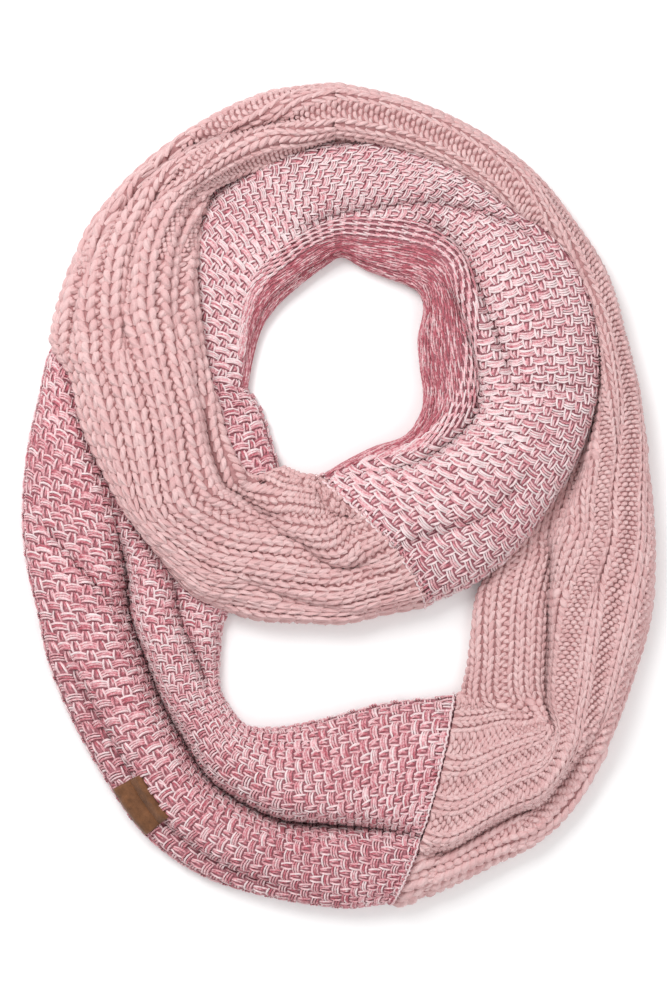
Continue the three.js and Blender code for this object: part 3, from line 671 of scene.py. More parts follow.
def stitch_tree(name, kinds, nominal_length):
    """Geometry nodes that put a tapered, arched strand of the right kind on every stitch point."""
    tree = bpy.data.node_groups.new(name, "GeometryNodeTree")
    face = tree.interface
    face.new_socket("Stitch points", in_out="INPUT", socket_type="NodeSocketGeometry")
    face.new_socket("Stitches", in_out="OUTPUT", socket_type="NodeSocketGeometry")
    sockets = {"Yarn": face.new_socket("Yarn", in_out="INPUT", socket_type="NodeSocketMaterial")}
    for label, kind, default in (("Sides", "Int", 6), ("Steps", "Int", 4),
                                 ("Yarn radius", "Float", 1.2 * MM), ("Tip share", "Float", 0.45)):
        sockets[label] = face.new_socket(label, in_out="INPUT", socket_type=f"NodeSocket{kind}")
        sockets[label].default_value = default
    for (label, rise, bow), length in zip(kinds, nominal_length):
        for part, value in (("length", length), ("rise", rise), ("bow", bow)):
            key = f"{label} {part}"
            sockets[key] = face.new_socket(key, in_out="INPUT", socket_type="NodeSocketFloat")
            sockets[key].default_value = value * MM

    nodes = tree.nodes
    given = nodes.new("NodeGroupInput").outputs
    result = nodes.new("NodeGroupOutput")

    def math_node(operation, *values):
        node = nodes.new("ShaderNodeMath")
        node.operation = operation
        for socket, value in zip(node.inputs, values):
            if isinstance(value, (int, float)):
                socket.default_value = value
            else:
                link(tree, value, socket)
        return node.outputs[0]

    def vector_node(*values):
        node = nodes.new("ShaderNodeCombineXYZ")
        for socket, value in zip(node.inputs, values):
            if isinstance(value, (int, float)):
                socket.default_value = value
            else:
                link(tree, value, socket)
        return node.outputs[0]

    def store(geometry, label, kind, value):
        node = nodes.new("GeometryNodeStoreNamedAttribute")
        node.data_type = kind
        node.domain = "POINT"
        node.inputs["Name"].default_value = label
        link(tree, geometry, node.inputs["Geometry"])
        link(tree, value, node.inputs["Value"])
        return node.outputs[0]

    def named(label, kind):
        node = nodes.new("GeometryNodeInputNamedAttribute")
        node.data_type = kind
        node.inputs["Name"].default_value = label
        return node.outputs["Attribute"]

    circle = nodes.new("GeometryNodeCurvePrimitiveCircle")
    link(tree, given["Sides"], circle.inputs["Resolution"])
    circle.inputs["Radius"].default_value = 1
    position = nodes.new("GeometryNodeInputPosition").outputs[0]
    profile = store(circle.outputs["Curve"], "rim", "FLOAT_VECTOR", position)

    progress = nodes.new("GeometryNodeSplineParameter").outputs["Factor"]
    arch = math_node("MULTIPLY", math_node("MULTIPLY", progress, 4), math_node("SUBTRACT", 1, progress))
    swell = math_node("POWER", arch, 0.5)
    taper = math_node("ADD", given["Tip share"],
                      math_node("MULTIPLY", math_node("SUBTRACT", 1, given["Tip share"]), swell))
    radius = math_node("MULTIPLY", given["Yarn radius"], taper)

    turn = nodes.new("FunctionNodeEulerToRotation")
    link(tree, named("turn", "FLOAT_VECTOR"), turn.inputs[0])
    size = named("size", "FLOAT_VECTOR")
    kind_number = named("kind", "FLOAT")
    joined = nodes.new("GeometryNodeJoinGeometry")
    for number, (label, _, _) in enumerate(kinds):
        half = math_node("MULTIPLY", given[f"{label} length"], 0.5)
        rise, bow = given[f"{label} rise"], given[f"{label} bow"]
        curve = nodes.new("GeometryNodeCurveQuadraticBezier")
        link(tree, given["Steps"], curve.inputs["Resolution"])
        link(tree, vector_node(math_node("MULTIPLY", half, -1), 0, math_node("MULTIPLY", rise, -0.5)),
             curve.inputs["Start"])
        link(tree, vector_node(0, math_node("MULTIPLY", bow, 2), rise), curve.inputs["Middle"])
        link(tree, vector_node(half, 0, math_node("MULTIPLY", rise, -0.5)), curve.inputs["End"])
        line = store(curve.outputs["Curve"], "along", "FLOAT", progress)
        sweep = nodes.new("GeometryNodeCurveToMesh")
        sweep.inputs["Fill Caps"].default_value = True
        link(tree, line, sweep.inputs["Curve"])
        link(tree, profile, sweep.inputs["Profile Curve"])
        link(tree, radius, sweep.inputs["Scale"])
        chosen = nodes.new("FunctionNodeCompare")
        chosen.operation = "EQUAL"
        link(tree, kind_number, chosen.inputs["A"])
        chosen.inputs["B"].default_value = number
        chosen.inputs["Epsilon"].default_value = 0.1
        scatter = nodes.new("GeometryNodeInstanceOnPoints")
        link(tree, given["Stitch points"], scatter.inputs["Points"])
        link(tree, chosen.outputs["Result"], scatter.inputs["Selection"])
        link(tree, sweep.outputs["Mesh"], scatter.inputs["Instance"])
        link(tree, turn.outputs[0], scatter.inputs["Rotation"])
        link(tree, size, scatter.inputs["Scale"])
        link(tree, scatter.outputs[0], joined.inputs[0])
    real = nodes.new("GeometryNodeRealizeInstances")
    link(tree, joined.outputs[0], real.inputs[0])
    soft = nodes.new("GeometryNodeSetShadeSmooth")
    link(tree, real.outputs[0], soft.inputs["Geometry"])
    paint = nodes.new("GeometryNodeSetMaterial")
    link(tree, soft.outputs[0], paint.inputs["Geometry"])
    link(tree, given["Yarn"], paint.inputs["Material"])
    link(tree, paint.outputs[0], result.inputs[0])
    return tree, {label: socket.identifier for label, socket in sockets.items()}


def new_object(name, mesh):
    obj = bpy.data.objects.new(name, mesh)
    bpy.context.scene.collection.objects.link(obj)
    return obj


def worked_in(worker, name):
    """A plain mesh of an object with its modifier worked in and nothing of it below the floor."""
    bpy.context.view_layer.update()
    graph = bpy.context.evaluated_depsgraph_get()
    mesh = bpy.data.meshes.new_from_object(worker.evaluated_get(graph), preserve_all_data_layers=True,
                                           depsgraph=graph)
    mesh.name = name
    places = np.zeros(len(mesh.vertices) * 3, dtype=np.float32)
    mesh.vertices.foreach_get("co", places)
    places[2::3] = np.maximum(places[2::3], 0)
    mesh.vertices.foreach_set("co", places)
    mesh.update()
    bpy.data.objects.remove(worker)
    return mesh


def knitted_piece(name, points, tree, identifiers, settings):
    """Runs the stitch tree on a mesh of points and keeps its result as a plain mesh."""
    worker = new_object(name + "_points", points)
    modifier = worker.modifiers.new("Stitches", "NODES")
    modifier.node_group = tree
    for label, value in settings.items():
        modifier[identifiers[label]] = value
    mesh = worked_in(worker, name)
    for label in ("turn", "size", "kind"):
        layer = mesh.attributes.get(label)
        if layer:
            mesh.attributes.remove(layer)
    if not mesh.polygons:
        raise RuntimeError(f"{name} came out with no stitches")
    piece = new_object(name, mesh)
    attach(piece, ROOT)
    return piece


def shell_mesh(cloth):
    """Sheath of a stretch: its top from edge to edge and its underside back, open at both ends."""
    rings = np.concatenate((cloth.points, cloth.under[:, ::-1]), axis=1)
    for end, neighbour in ((0, 1), (-1, -2)):
        step = rings[neighbour] - rings[end]
        step[:, 2] = 0
        rings[end] += step * (SEAM_GAP / np.maximum(np.linalg.norm(step, axis=1, keepdims=True), 1e-6))
    size = rings.shape[1]
    faces = []
    for i in range(cloth.rings):
        for k in range(size):
            a, b = i * size + k, i * size + (k + 1) % size
            faces.append((a, b, b + size, a + size))
    points = rings.reshape(-1, 3)
    quads = points[np.array(faces)]
    outwards = np.cross(quads[:, 1] - quads[:, 0], quads[:, 3] - quads[:, 0])
    if outwards[ACROSS_STEPS // 2::size, 2].sum() < 0:
        faces = [face[::-1] for face in faces]
    mesh = bpy.data.meshes.new(cloth.name)
    mesh.from_pydata([tuple(p) for p in points * MM], [], faces)
    for polygon in mesh.polygons:
        polygon.use_smooth = True
    # Painted fold shade on the top, none on the underside
    shade = np.concatenate((cloth.shade, np.zeros((len(cloth.shade), UNDER_STEPS - 1))), axis=1)
    layer = mesh.attributes.new("shade", "FLOAT", "POINT")
    layer.data.foreach_set("value", shade.astype(np.float32).ravel())
    layer = mesh.uv_layers.new(name="knit")
    across = np.concatenate((cloth.share * cloth.length_across[:, None],
                             np.linspace(0, 1, UNDER_STEPS + 1)[1:-1][None, ::-1] * cloth.width), axis=1)
    run = np.concatenate(([0], np.cumsum(np.linalg.norm(np.diff(cloth.points[:, ACROSS_STEPS // 2], axis=0),
                                                         axis=1))))
    places = np.stack((across * MM, np.repeat(run[:, None], size, axis=1) * MM), axis=-1).reshape(-1, 2)
    corners = np.zeros(len(mesh.loops), dtype=int)
    mesh.loops.foreach_get("vertex_index", corners)
    layer.data.foreach_set("uv", places[corners].astype(np.float32).ravel())
    return mesh, run[-1]


# Materials


def node_tool(tree):
    """Short helper that makes a shader node, sets its values and links its inputs."""
    def make(kind, outputs=0, values=None, **settings):
        node = tree.nodes.new(kind)
        for key, value in settings.items():
            setattr(node, key, value)
        for key, value in (values or {}).items():
            socket = node.inputs[key]
            if isinstance(value, bpy.types.NodeSocket):
                tree.links.new(value, socket)
            else:
                socket.default_value = value
        return node.outputs[outputs] if outputs is not None else node
    return make


def ramp(make, factor, stops):
    node = make("ShaderNodeValToRGB", outputs=None, values={"Fac": factor})
    elements = node.color_ramp.elements
    while len(elements) < len(stops):
        elements.new(0.5)
    for element, (place, colour) in zip(elements, stops):
        element.position = place
        element.color = colour
    return node.outputs["Color"]


# How much the plies and the fibres of a yarn count in its marl and in its relief
MARL_PLY = 0.3
MARL_FIBRE = 2.4
MARL_DROP = 0.7
PLY_RELIEF = 0.5
FIBRE_RELIEF = 0.8


def yarn_twist_group():
    """Group that turns a strand's own attributes into its twisted plies: a marl mask and a height."""
    tree = bpy.data.node_groups.new("Yarn twist", "ShaderNodeTree")
    for label, default in (("Turns", 0.8), ("Plies", 2.0), ("Ply turns", 2.5), ("Fibre scale", 900.0)):
        socket = tree.interface.new_socket(label, in_out="INPUT", socket_type="NodeSocketFloat")
        socket.default_value = default
    for label in ("Marl", "Height", "Tone"):
        tree.interface.new_socket(label, in_out="OUTPUT", socket_type="NodeSocketFloat")
    given = tree.nodes.new("NodeGroupInput").outputs
    result = tree.nodes.new("NodeGroupOutput").inputs
    make = node_tool(tree)

    def calc(operation, *values):
        return make("ShaderNodeMath", operation=operation, values=dict(enumerate(values)))

    rim = make("ShaderNodeAttribute", outputs="Vector", attribute_name="rim")
    split = make("ShaderNodeSeparateXYZ", outputs=None, values={"Vector": rim})
    angle = calc("ARCTAN2", split.outputs["Y"], split.outputs["X"])
    along = make("ShaderNodeAttribute", outputs="Fac", attribute_name="along")
    phase = make("ShaderNodeAttribute", outputs="Fac", attribute_name="phase")
    tone = make("ShaderNodeAttribute", outputs="Fac", attribute_name="tone")
    full = 2 * math.pi
    start = calc("MULTIPLY", phase, full)

    def swing(turns):
        return calc("ADD", calc("MULTIPLY", calc("MULTIPLY", along, given[turns]), full), start)

    marl = calc("SINE", calc("ADD", angle, swing("Turns")))
    plies = calc("SINE", calc("ADD", calc("MULTIPLY", angle, given["Plies"]), swing("Ply turns")))
    place = make("ShaderNodeTexCoord", outputs="Object")
    noise = make("ShaderNodeTexNoise", outputs="Fac",
                 values={"Vector": place, "Scale": given["Fibre scale"], "Detail": 3.0, "Roughness": 0.6})
    mixed = calc("ADD", calc("MULTIPLY", marl, MARL_PLY), calc("MULTIPLY", noise, MARL_FIBRE))
    link(tree, calc("SUBTRACT", mixed, MARL_DROP), result["Marl"])
    height = calc("ADD", calc("MULTIPLY", plies, PLY_RELIEF), calc("MULTIPLY", noise, FIBRE_RELIEF))
    link(tree, height, result["Height"])
    link(tree, tone, result["Tone"])
    return tree


def new_material(name, roughness, sheen):
    """A material with its surface's fixed values set, its shader and a helper for its nodes."""
    material = bpy.data.materials.new(name)
    material.use_nodes = True
    shader = material.node_tree.nodes["Principled BSDF"]
    shader.inputs["Roughness"].default_value = roughness
    shader.inputs["Sheen Weight"].default_value = sheen
    shader.inputs["Sheen Roughness"].default_value = 0.5
    shader.inputs["Sheen Tint"].default_value = (1, 1, 1, 1)
    shader.inputs["Specular IOR Level"].default_value = 0.2
    return material, shader, node_tool(material.node_tree)


def add_bump(material, make, shader, height, strength, distance):
    bump = make("ShaderNodeBump", values={"Height": height, "Strength": strength, "Distance": distance})
    link(material.node_tree, bump, shader.inputs["Normal"])


def with_fold_shade(make, colour, shade):
    """A colour with painted shade: it deepens to a dark rose brown at the bottom of the folds."""
    return make("ShaderNodeMix", outputs=2, data_type="RGBA", blend_type="MULTIPLY",
                values={0: shade, 6: colour, 7: FOLD_SHADE_COLOUR})


def yarn_material(name, group, colours, plies, shares):
    """Yarn of several plies; its marl, a strand's own tone and a slow drift pick the colour, and painted shade
    darkens it in the folds.
    """
    material, shader, make = new_material(name, 0.85, 0.16)
    tree = material.node_tree
    twist = make("ShaderNodeGroup", outputs=None, node_tree=group)
    for label, value in plies.items():
        twist.inputs[label].default_value = value
    place = make("ShaderNodeTexCoord", outputs="Object")
    drift = make("ShaderNodeTexNoise", outputs="Fac",
                 values={"Vector": place, "Scale": 55.0, "Detail": 4.0, "Roughness": 0.7})
    total = 0.5 - sum(shares) / 2
    for value, share in zip((twist.outputs["Marl"], twist.outputs["Tone"], drift), shares):
        total = make("ShaderNodeMath", operation="MULTIPLY_ADD", values={0: value, 1: share, 2: total})
    # Painted shade: the fold shade stored with each strand darkens the yarn in the folds
    shade = make("ShaderNodeAttribute", outputs="Fac", attribute_name="shade")
    link(tree, with_fold_shade(make, ramp(make, total, colours), shade), shader.inputs["Base Color"])
    add_bump(material, make, shader, twist.outputs["Height"], 0.8, 0.0005)
    return material


def cloth_material(name, ground):
    """The knitted ground under the stitches, in colours darker than the yarn as painted shade in the gaps
    between stitches, with its own small loops drawn in the knit UV map.
    """
    dark, light, loop_width, loop_length = ground
    # Painted shade: both colours are darker than the yarn, so the gaps between the stitches look shaded
    colours = ((0.0, colour(dark)), (1.0, colour(light)))
    material, shader, make = new_material(name, 0.95, 0.2)
    place = make("ShaderNodeUVMap", uv_map="knit")
    scale = (1 / (loop_width * MM), 1 / (loop_length * MM), 1)
    scaled = make("ShaderNodeMapping", values={"Vector": place, "Scale": scale})
    loops = make("ShaderNodeTexVoronoi", outputs="Distance",
                 values={"Vector": scaled, "Scale": 1.0, "Randomness": 0.35})
    place = make("ShaderNodeTexCoord", outputs="Object")
    fibre = make("ShaderNodeTexNoise", outputs="Fac",
                 values={"Vector": place, "Scale": 500.0, "Detail": 4.0, "Roughness": 0.65})
    mixed = make("ShaderNodeMath", operation="MULTIPLY_ADD", values={0: fibre, 1: 0.8, 2: loops})
    shade = make("ShaderNodeMath", operation="SUBTRACT", values={0: mixed, 1: 0.35})
    # Painted shade: the fold shade stored on the cloth darkens it in the folds
    fold = make("ShaderNodeAttribute", outputs="Fac", attribute_name="shade")
    link(material.node_tree, with_fold_shade(make, ramp(make, shade, colours), fold), shader.inputs["Base Color"])
    add_bump(material, make, shader, mixed, 0.8, 0.001)
    return material


def colour(text):
    """Linear colour of a hex value as it is seen on screen."""
    values = [int(text[i:i + 2], 16) / 255 for i in (0, 2, 4)]
    linear = [v / 12.92 if v <= 0.04045 else ((v + 0.055) / 1.055) ** 2.4 for v in values]
    return (*linear, 1.0)


# Dark and light colours of each panel's ground cloth, both darker than its yarn as painted shade in the gaps
# between the stitches, and the width and length of its loops in mm
RIB_GROUND_SHADED = ("976667", "C49393", 3.5, 4.8)
TUCK_GROUND_SHADED = ("85454F", "BD828B", 3.0, 3.0)

# Colours between the marl yarn's two plies, with their places from the rose ply to the pale one
MARL_DARK_PLACE = 0.1
MARL_MIDDLES = ((0.34, "D8949C"), (0.58, "EABDC1"))
MARL_LIGHT_PLACE = 0.9
RIB_LIGHT_PLACE = 0.75

# Strand thicknesses as shares of the yarn radius: of a knit leg for each mm of its column's width, of a
# purl bump and of a tuck strand
LEG_SHARE = 0.2
BUMP_RADIUS = 1.05
TUCK_RADIUS = 1.0

# Where gutters are shut: the share of a rib that is knit, over how much of the width they close, and the
# width in mm past which the knit part has four columns instead of two
SHUT_KNIT_SHARE = 0.84
SHUT_BLEND = 0.08
WIDEST_PAIR = 17.5

# A knit leg: how far its foot and its tip lie off the middle of its column, as shares of the column's
# width, how many rows it reaches over, and the lifts of its foot and tip in mm
LEG_FOOT = 0.38
LEG_TIP = 0.12
LEG_REACH = 1.32
LEG_LIFTS = (-0.2, 0.55)

# Widths in mm up to which a gutter is narrow, and wide
NARROW_WIDTH = 5
WIDE_WIDTH = 11

# Purl bumps of a gutter: place and half length as shares of its width, row phase, lean and lift
NARROW_GUTTER = ((-0.35, 0.6, 0.3, 0.2, -0.4), (0.35, 0.6, 0.8, -0.2, -0.4))
WIDE_GUTTER = (
    (-0.25, 0.24, 0.3, 0.12, 0.2), (0.25, 0.24, 0.3, -0.12, 0.2), (0.0, 0.22, 0.8, 0.0, 0.2),
    (-0.44, 0.18, 0.8, 0.12, 0.0), (0.44, 0.18, 0.8, -0.12, 0.0),
)
BROAD_GUTTER = (
    (-0.33, 0.14, 0.3, 0.1, 0.1), (0.0, 0.14, 0.3, 0.0, 0.3), (0.33, 0.14, 0.3, -0.1, 0.1),
    (-0.17, 0.14, 0.8, 0.05, 0.2), (0.17, 0.14, 0.8, -0.05, 0.2), (-0.47, 0.12, 0.8, 0.1, -0.3),
    (0.47, 0.12, 0.8, -0.1, -0.3),
)

# The strands of a tuck cell: their kind, the rows and cells at which they start and end, their thickness,
# the lifts of their ends in mm, whether they bow the other way, how pale they are, and which of the
# cell's three chances is added to that, and how much of it
CELL_STRAND = ("kind", "row_from", "cell_from", "row_to", "cell_to", "thickness", "lift_from", "lift_to",
               "flip", "tone", "chance", "chance_share")
UPRIGHT_CELL = (
    (1, -0.1, -0.17, 1.1, -0.3, 1.0, 0.5, 0.3, True, 0.38, 0, 1.0),
    (1, -0.1, 0.17, 1.1, 0.3, 1.0, 0.5, 0.3, False, 0.38, 1, 1.0),
    (1, -0.1, 0.0, 0.75, 0.0, 1.2, 0.2, 0.0, False, 0.1, 2, 0.8),
)
LADDER_CELL = (
    (0, -0.3, -0.2, 1.3, -0.3, 0.85, 0.9, 0.9, False, 0.3, 2, 1.0),
    (0, -0.1, 0.2, 1.3, 0.3, 0.85, 0.9, 0.9, True, 0.3, 1, 1.0),
    (1, 0.0, -0.4, 0.1, 0.4, 0.7, 0.3, 0.3, False, 0.1, 0, 0.0),
)
FLOAT_CELL = (
    (2, -0.2, -0.25, 1.5, -0.25, 0.66, 0.2, 0.2, False, 0.0, 0, 1.6),
    (2, -0.2, 0.25, 1.5, 0.25, 0.66, 0.2, 0.2, False, 0.0, 1, 1.6),
)

# The three strands of a bar: their rows, how far they reach on each side in cells, their lift in mm, and
# how pale they are, before their own chance
BAR_ROWS = (0.25, 0.5, 0.75)
BAR_REACH = 0.64
BAR_LIFT = 0.7
BAR_TONES = (0.45, 0.08, 0.22)

# How far a float's end is moved across by chance, in cells; the narrowest cell that is worked, in mm; and
# how much a strand's paleness is left to chance
FLOAT_LEAN = (-0.2, 0.6)
LEAST_CELL = 0.7
TONE_CHANCE = 0.5

# The overlock stitches of a seam: how far apart they are in mm, the shares of the width between which they
# are sewn, their near end, far end and its chance in stations, their lean and reach in stitches, their
# thickness, and their lifts in mm across the seam and along it
SEAM_PITCH = 3.4
SEAM_SHARES = (0.02, 0.96)
SEAM_NEAR = 0.04
SEAM_FAR = 0.24
SEAM_FAR_CHANCE = 0.1
SEAM_LEAN = 0.3
SEAM_REACH = 1.15
SEAM_THICKNESS = 0.9
SEAM_ACROSS_LIFTS = (1.6, 1.2)
SEAM_ALONG_LIFTS = (2.4, 2.4)
SEAM_TONE = 0.9

# Where the patch is sewn: its station, a station's length there and its distance from the outer edge in
# mm; the steps of its mesh along and across; the lifts of its face and back and the drop of its rim in
# mm; the share of the way out at which the rim starts; and the height of its waves and of its grain in mm
PATCH_STATION = 9.6
PATCH_STATION_LENGTH = 37.0
PATCH_FROM_EDGE = 14.0
PATCH_COLUMNS = 24
PATCH_LINES = 16
PATCH_FACE_LIFT = 1.9
PATCH_BACK_LIFT = -0.5
PATCH_RIM_DROP = 0.5
PATCH_RIM_FROM = 0.86
PATCH_WAVE = 0.12
PATCH_GRAIN = 0.05

# The floor's half width and how far it lies under the scarf, the camera's place over it, and the soft
# lights with their setting, size and place, in metres
FLOOR_HALF = 3.0
FLOOR_DROP = 0.0002
CAMERA_PLACE = (-0.0028, -0.00084)
LIGHTS = (("key", "key_light", 0.7, (-0.55, 0.75, 1.15)), ("fill", "fill_light", 1.2, (0.9, -0.6, 1.1)))

Cell = namedtuple("Cell", "u step centre width thickness tones")
# What the operators have made so far: each stretch's cloth and pieces, the yarn's group and the floor
MADE = {}


class ScarfYarn(bpy.types.PropertyGroup):
    """Sizes and colours of the yarns."""

    radius: bpy.props.FloatProperty(
        name="Rib yarn radius", description="Half the thickness of the rib panel's yarn",
        default=1.35 * MM, min=0.5 * MM, max=3 * MM, precision=5, unit="LENGTH")
    tuck_radius: bpy.props.FloatProperty(
        name="Marl yarn radius", description="Half the thickness of the tuck-stitch panel's yarn",
        default=0.74 * MM, min=0.3 * MM, max=3 * MM, precision=5, unit="LENGTH")
    rib_light: bpy.props.FloatVectorProperty(
        name="Rib yarn, light", description="Lightest colour of the rib yarn",
        default=colour("E4C1C0")[:3], size=3, min=0, max=1, subtype="COLOR")
    rib_dark: bpy.props.FloatVectorProperty(
        name="Rib yarn, dark", description="Darkest colour of the rib yarn",
        default=colour("CF9C9C")[:3], size=3, min=0, max=1, subtype="COLOR")
    marl_light: bpy.props.FloatVectorProperty(
        name="Marl yarn, light ply", description="Colour of the marl yarn's pale ply",
        default=colour("F2DEDF")[:3], size=3, min=0, max=1, subtype="COLOR")
    marl_dark: bpy.props.FloatVectorProperty(
        name="Marl yarn, rose ply", description="Colour of the marl yarn's rose ply",
        default=colour("B65F6B")[:3], size=3, min=0, max=1, subtype="COLOR")


class ScarfPatch(bpy.types.PropertyGroup):
    """The leather patch."""

    length: bpy.props.FloatProperty(
        name="Patch length", description="Size of the patch along the strip",
        default=31 * MM, min=10 * MM, max=60 * MM, unit="LENGTH")
    width: bpy.props.FloatProperty(
        name="Patch width", description="Size of the patch across the strip",
        default=20 * MM, min=8 * MM, max=40 * MM, unit="LENGTH")
    thickness: bpy.props.FloatProperty(
        name="Patch thickness", description="Thickness of the leather",
        default=1.6 * MM, min=0.5 * MM, max=4 * MM, precision=4, unit="LENGTH")
    leather: bpy.props.FloatVectorProperty(
        name="Leather", description="Colour of the leather",
        default=colour("7A5034")[:3], size=3, min=0, max=1, subtype="COLOR")


class ScarfStage(bpy.types.PropertyGroup):
    """Camera, light and floor."""

    camera_height: bpy.props.FloatProperty(
        name="Camera height", description="Height of the camera above the floor",
        default=1.567, min=0.5, max=5, unit="LENGTH")
    lens: bpy.props.FloatProperty(
        name="Lens", description="Focal length of the camera", default=100, min=20, max=300)
    key_light: bpy.props.FloatProperty(
        name="Key light", description="Power of the main soft light",
        default=14, min=0, unit="POWER")
    fill_light: bpy.props.FloatProperty(
        name="Fill light", description="Power of the light on the other side",
        default=6, min=0, unit="POWER")
    surround: bpy.props.FloatProperty(
        name="Surround", description="Strength of the even light all round", default=0.66, min=0, max=3)


class SCARF_OT_cloth(bpy.types.Operator):
    """Make the thin cloth of the four stretches, each resting on what lies below it."""
    bl_idname = "scarf.cloth"
    bl_label = "Cloth"

    def execute(self, context):
        rib = cloth_material("rib_cloth", RIB_GROUND_SHADED)
        tuck = cloth_material("tuck_cloth", TUCK_GROUND_SHADED)
        for name in ("rib_panel_right", "tuck_panel_outer", "tuck_panel_ring", "rib_panel_crossing"):
            cloth = Cloth(name, [MADE[other]["tree"] for other in STRETCHES[name]["rests_on"]])
            mesh, length = shell_mesh(cloth)
            mesh.materials.append(rib if cloth.stretch["ribs"] else tuck)
            sheath = new_object(name + "_sheath", mesh)
            wall = sheath.modifiers.new("Thickness", "SOLIDIFY")
            wall.thickness = WALL * MM
            wall.offset = -1
            label = name.replace("panel", "cloth")
            piece = new_object(label, worked_in(sheath, label))
            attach(piece, ROOT)
            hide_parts(name)
            MADE[name] = {"cloth": cloth, "tree": cloth.tree(), "piece": piece, "length": length,
                          "with": []}
        return {"FINISHED"}


def varied(random, spread):
    """A factor of about one, by chance."""
    return 1 - spread / 2 + spread * random.random()


def rib_frame(cloth, u):
    """Progress along the stretch, pitch of its ribs in mm, and a function for the knit share of a rib."""
    progress = u / cloth.last
    layout = RIB_LAYOUT[cloth.name]
    open_from, open_to, knit = (along_stretch(layout[key], progress)
                                for key in ("open_from", "open_to", "knit_share"))
    ring = min(cloth.rings, round(progress * cloth.rings))

    def knit_share(place):
        share = share_of_rib(cloth.stretch, progress, place)
        shut = 1 - smooth((share - open_from) / SHUT_BLEND) * smooth((open_to - share) / SHUT_BLEND)
        return knit + (max(knit, SHUT_KNIT_SHARE) - knit) * float(shut)

    pitch = cloth.length_across[ring] / along_stretch(cloth.stretch["ribs"], progress)
    return progress, pitch, knit_share


def rib_places(cloth, progress):
    """Whole numbers of the gutters that may lie on the width, and of the ribs after them."""
    reach = int(along_stretch(cloth.stretch["ribs"], progress) / 2) + 1
    return range(-reach, reach + 1)


def knit_strands(cloth, covers, random):
    """Knit columns: V after V, each with two fat legs that meet towards the strip's far end."""
    strands = Strands(cloth, covers)
    rows = cloth.rows_along(0.5, RIB_LAYOUT[cloth.name]["row_pitch"])
    for r, u in enumerate(rows[:-1]):
        step = rows[r + 1] - u
        progress, pitch, knit_share = rib_frame(cloth, u)
        for rib in rib_places(cloth, progress):
            knit = knit_share(rib + 0.5)
            columns = 2 if knit * pitch < WIDEST_PAIR else 4
            wale = knit / columns
            for column in range(columns):
                middle = rib + 0.5 - knit / 2 + (column + 0.5) * wale
                for side in (-1, 1):
                    foot = share_of_rib(cloth.stretch, progress, middle + side * LEG_FOOT * wale)
                    tip = share_of_rib(cloth.stretch, progress, middle + side * LEG_TIP * wale)
                    thickness = LEG_SHARE * wale * pitch * varied(random, 0.1)
                    strands.add(0, (u, foot), (u + LEG_REACH * step, tip), thickness, LEG_LIFTS, side < 0,
                                random.random(), r, step)
    return strands


def purl_strands(cloth, covers, random):
    """Purl gutters: arched bumps side by side, with the bumps of the next course between them."""
    strands = Strands(cloth, covers)
    rows = cloth.rows_along(0.5, RIB_LAYOUT[cloth.name]["row_pitch"])
    for r, u in enumerate(rows[:-1]):
        step = rows[r + 1] - u
        progress, pitch, knit_share = rib_frame(cloth, u)
        for rib in rib_places(cloth, progress):
            before, after = (knit_share(rib + way) / 2 for way in (-0.5, 0.5))
            gutter = 1 - before - after
            centre = rib + (before - after) / 2
            width = gutter * pitch
            spots = WIDE_GUTTER if width < WIDE_WIDTH else BROAD_GUTTER
            if width < NARROW_WIDTH:
                spots = NARROW_GUTTER
            for place, half, phase, lean, lift in spots:
                start = share_of_rib(cloth.stretch, progress, centre + (place - half) * gutter)
                end = share_of_rib(cloth.stretch, progress, centre + (place + half) * gutter)
                strands.add(1, (u + (phase - lean) * step, start), (u + (phase + lean) * step, end),
                            BUMP_RADIUS * varied(random, 0.2), (lift, lift), True, random.random(), r, step)
    return strands


def add_cell(strands, cell, rows, shifts=(0, 0, 0), leans=(0, 0, 0)):
    """The strands of a cell, each moved along by a shift in rows, and its end across by a lean in cells."""
    for row, shift, lean in zip(rows, shifts, leans):
        part = dict(zip(CELL_STRAND, row))
        start = (cell.u + (shift + part["row_from"]) * cell.step, cell.centre + part["cell_from"] * cell.width)
        end = (cell.u + (shift + part["row_to"]) * cell.step,
               cell.centre + part["cell_to"] * cell.width + lean * cell.width)
        tone = part["tone"] + part["chance_share"] * cell.tones[part["chance"]]
        strands.add(part["kind"], start, end, part["thickness"] * cell.thickness,
                    (part["lift_from"], part["lift_to"]), part["flip"], tone)


def bar_cell(order):
    """The three strands of a bar across the strip, with their tones in a given order."""
    return [(0, row, -BAR_REACH, row, BAR_REACH, 1.0, BAR_LIFT, BAR_LIFT, False, BAR_TONES[which], which, 1.0)
            for row, which in zip(BAR_ROWS, order)]


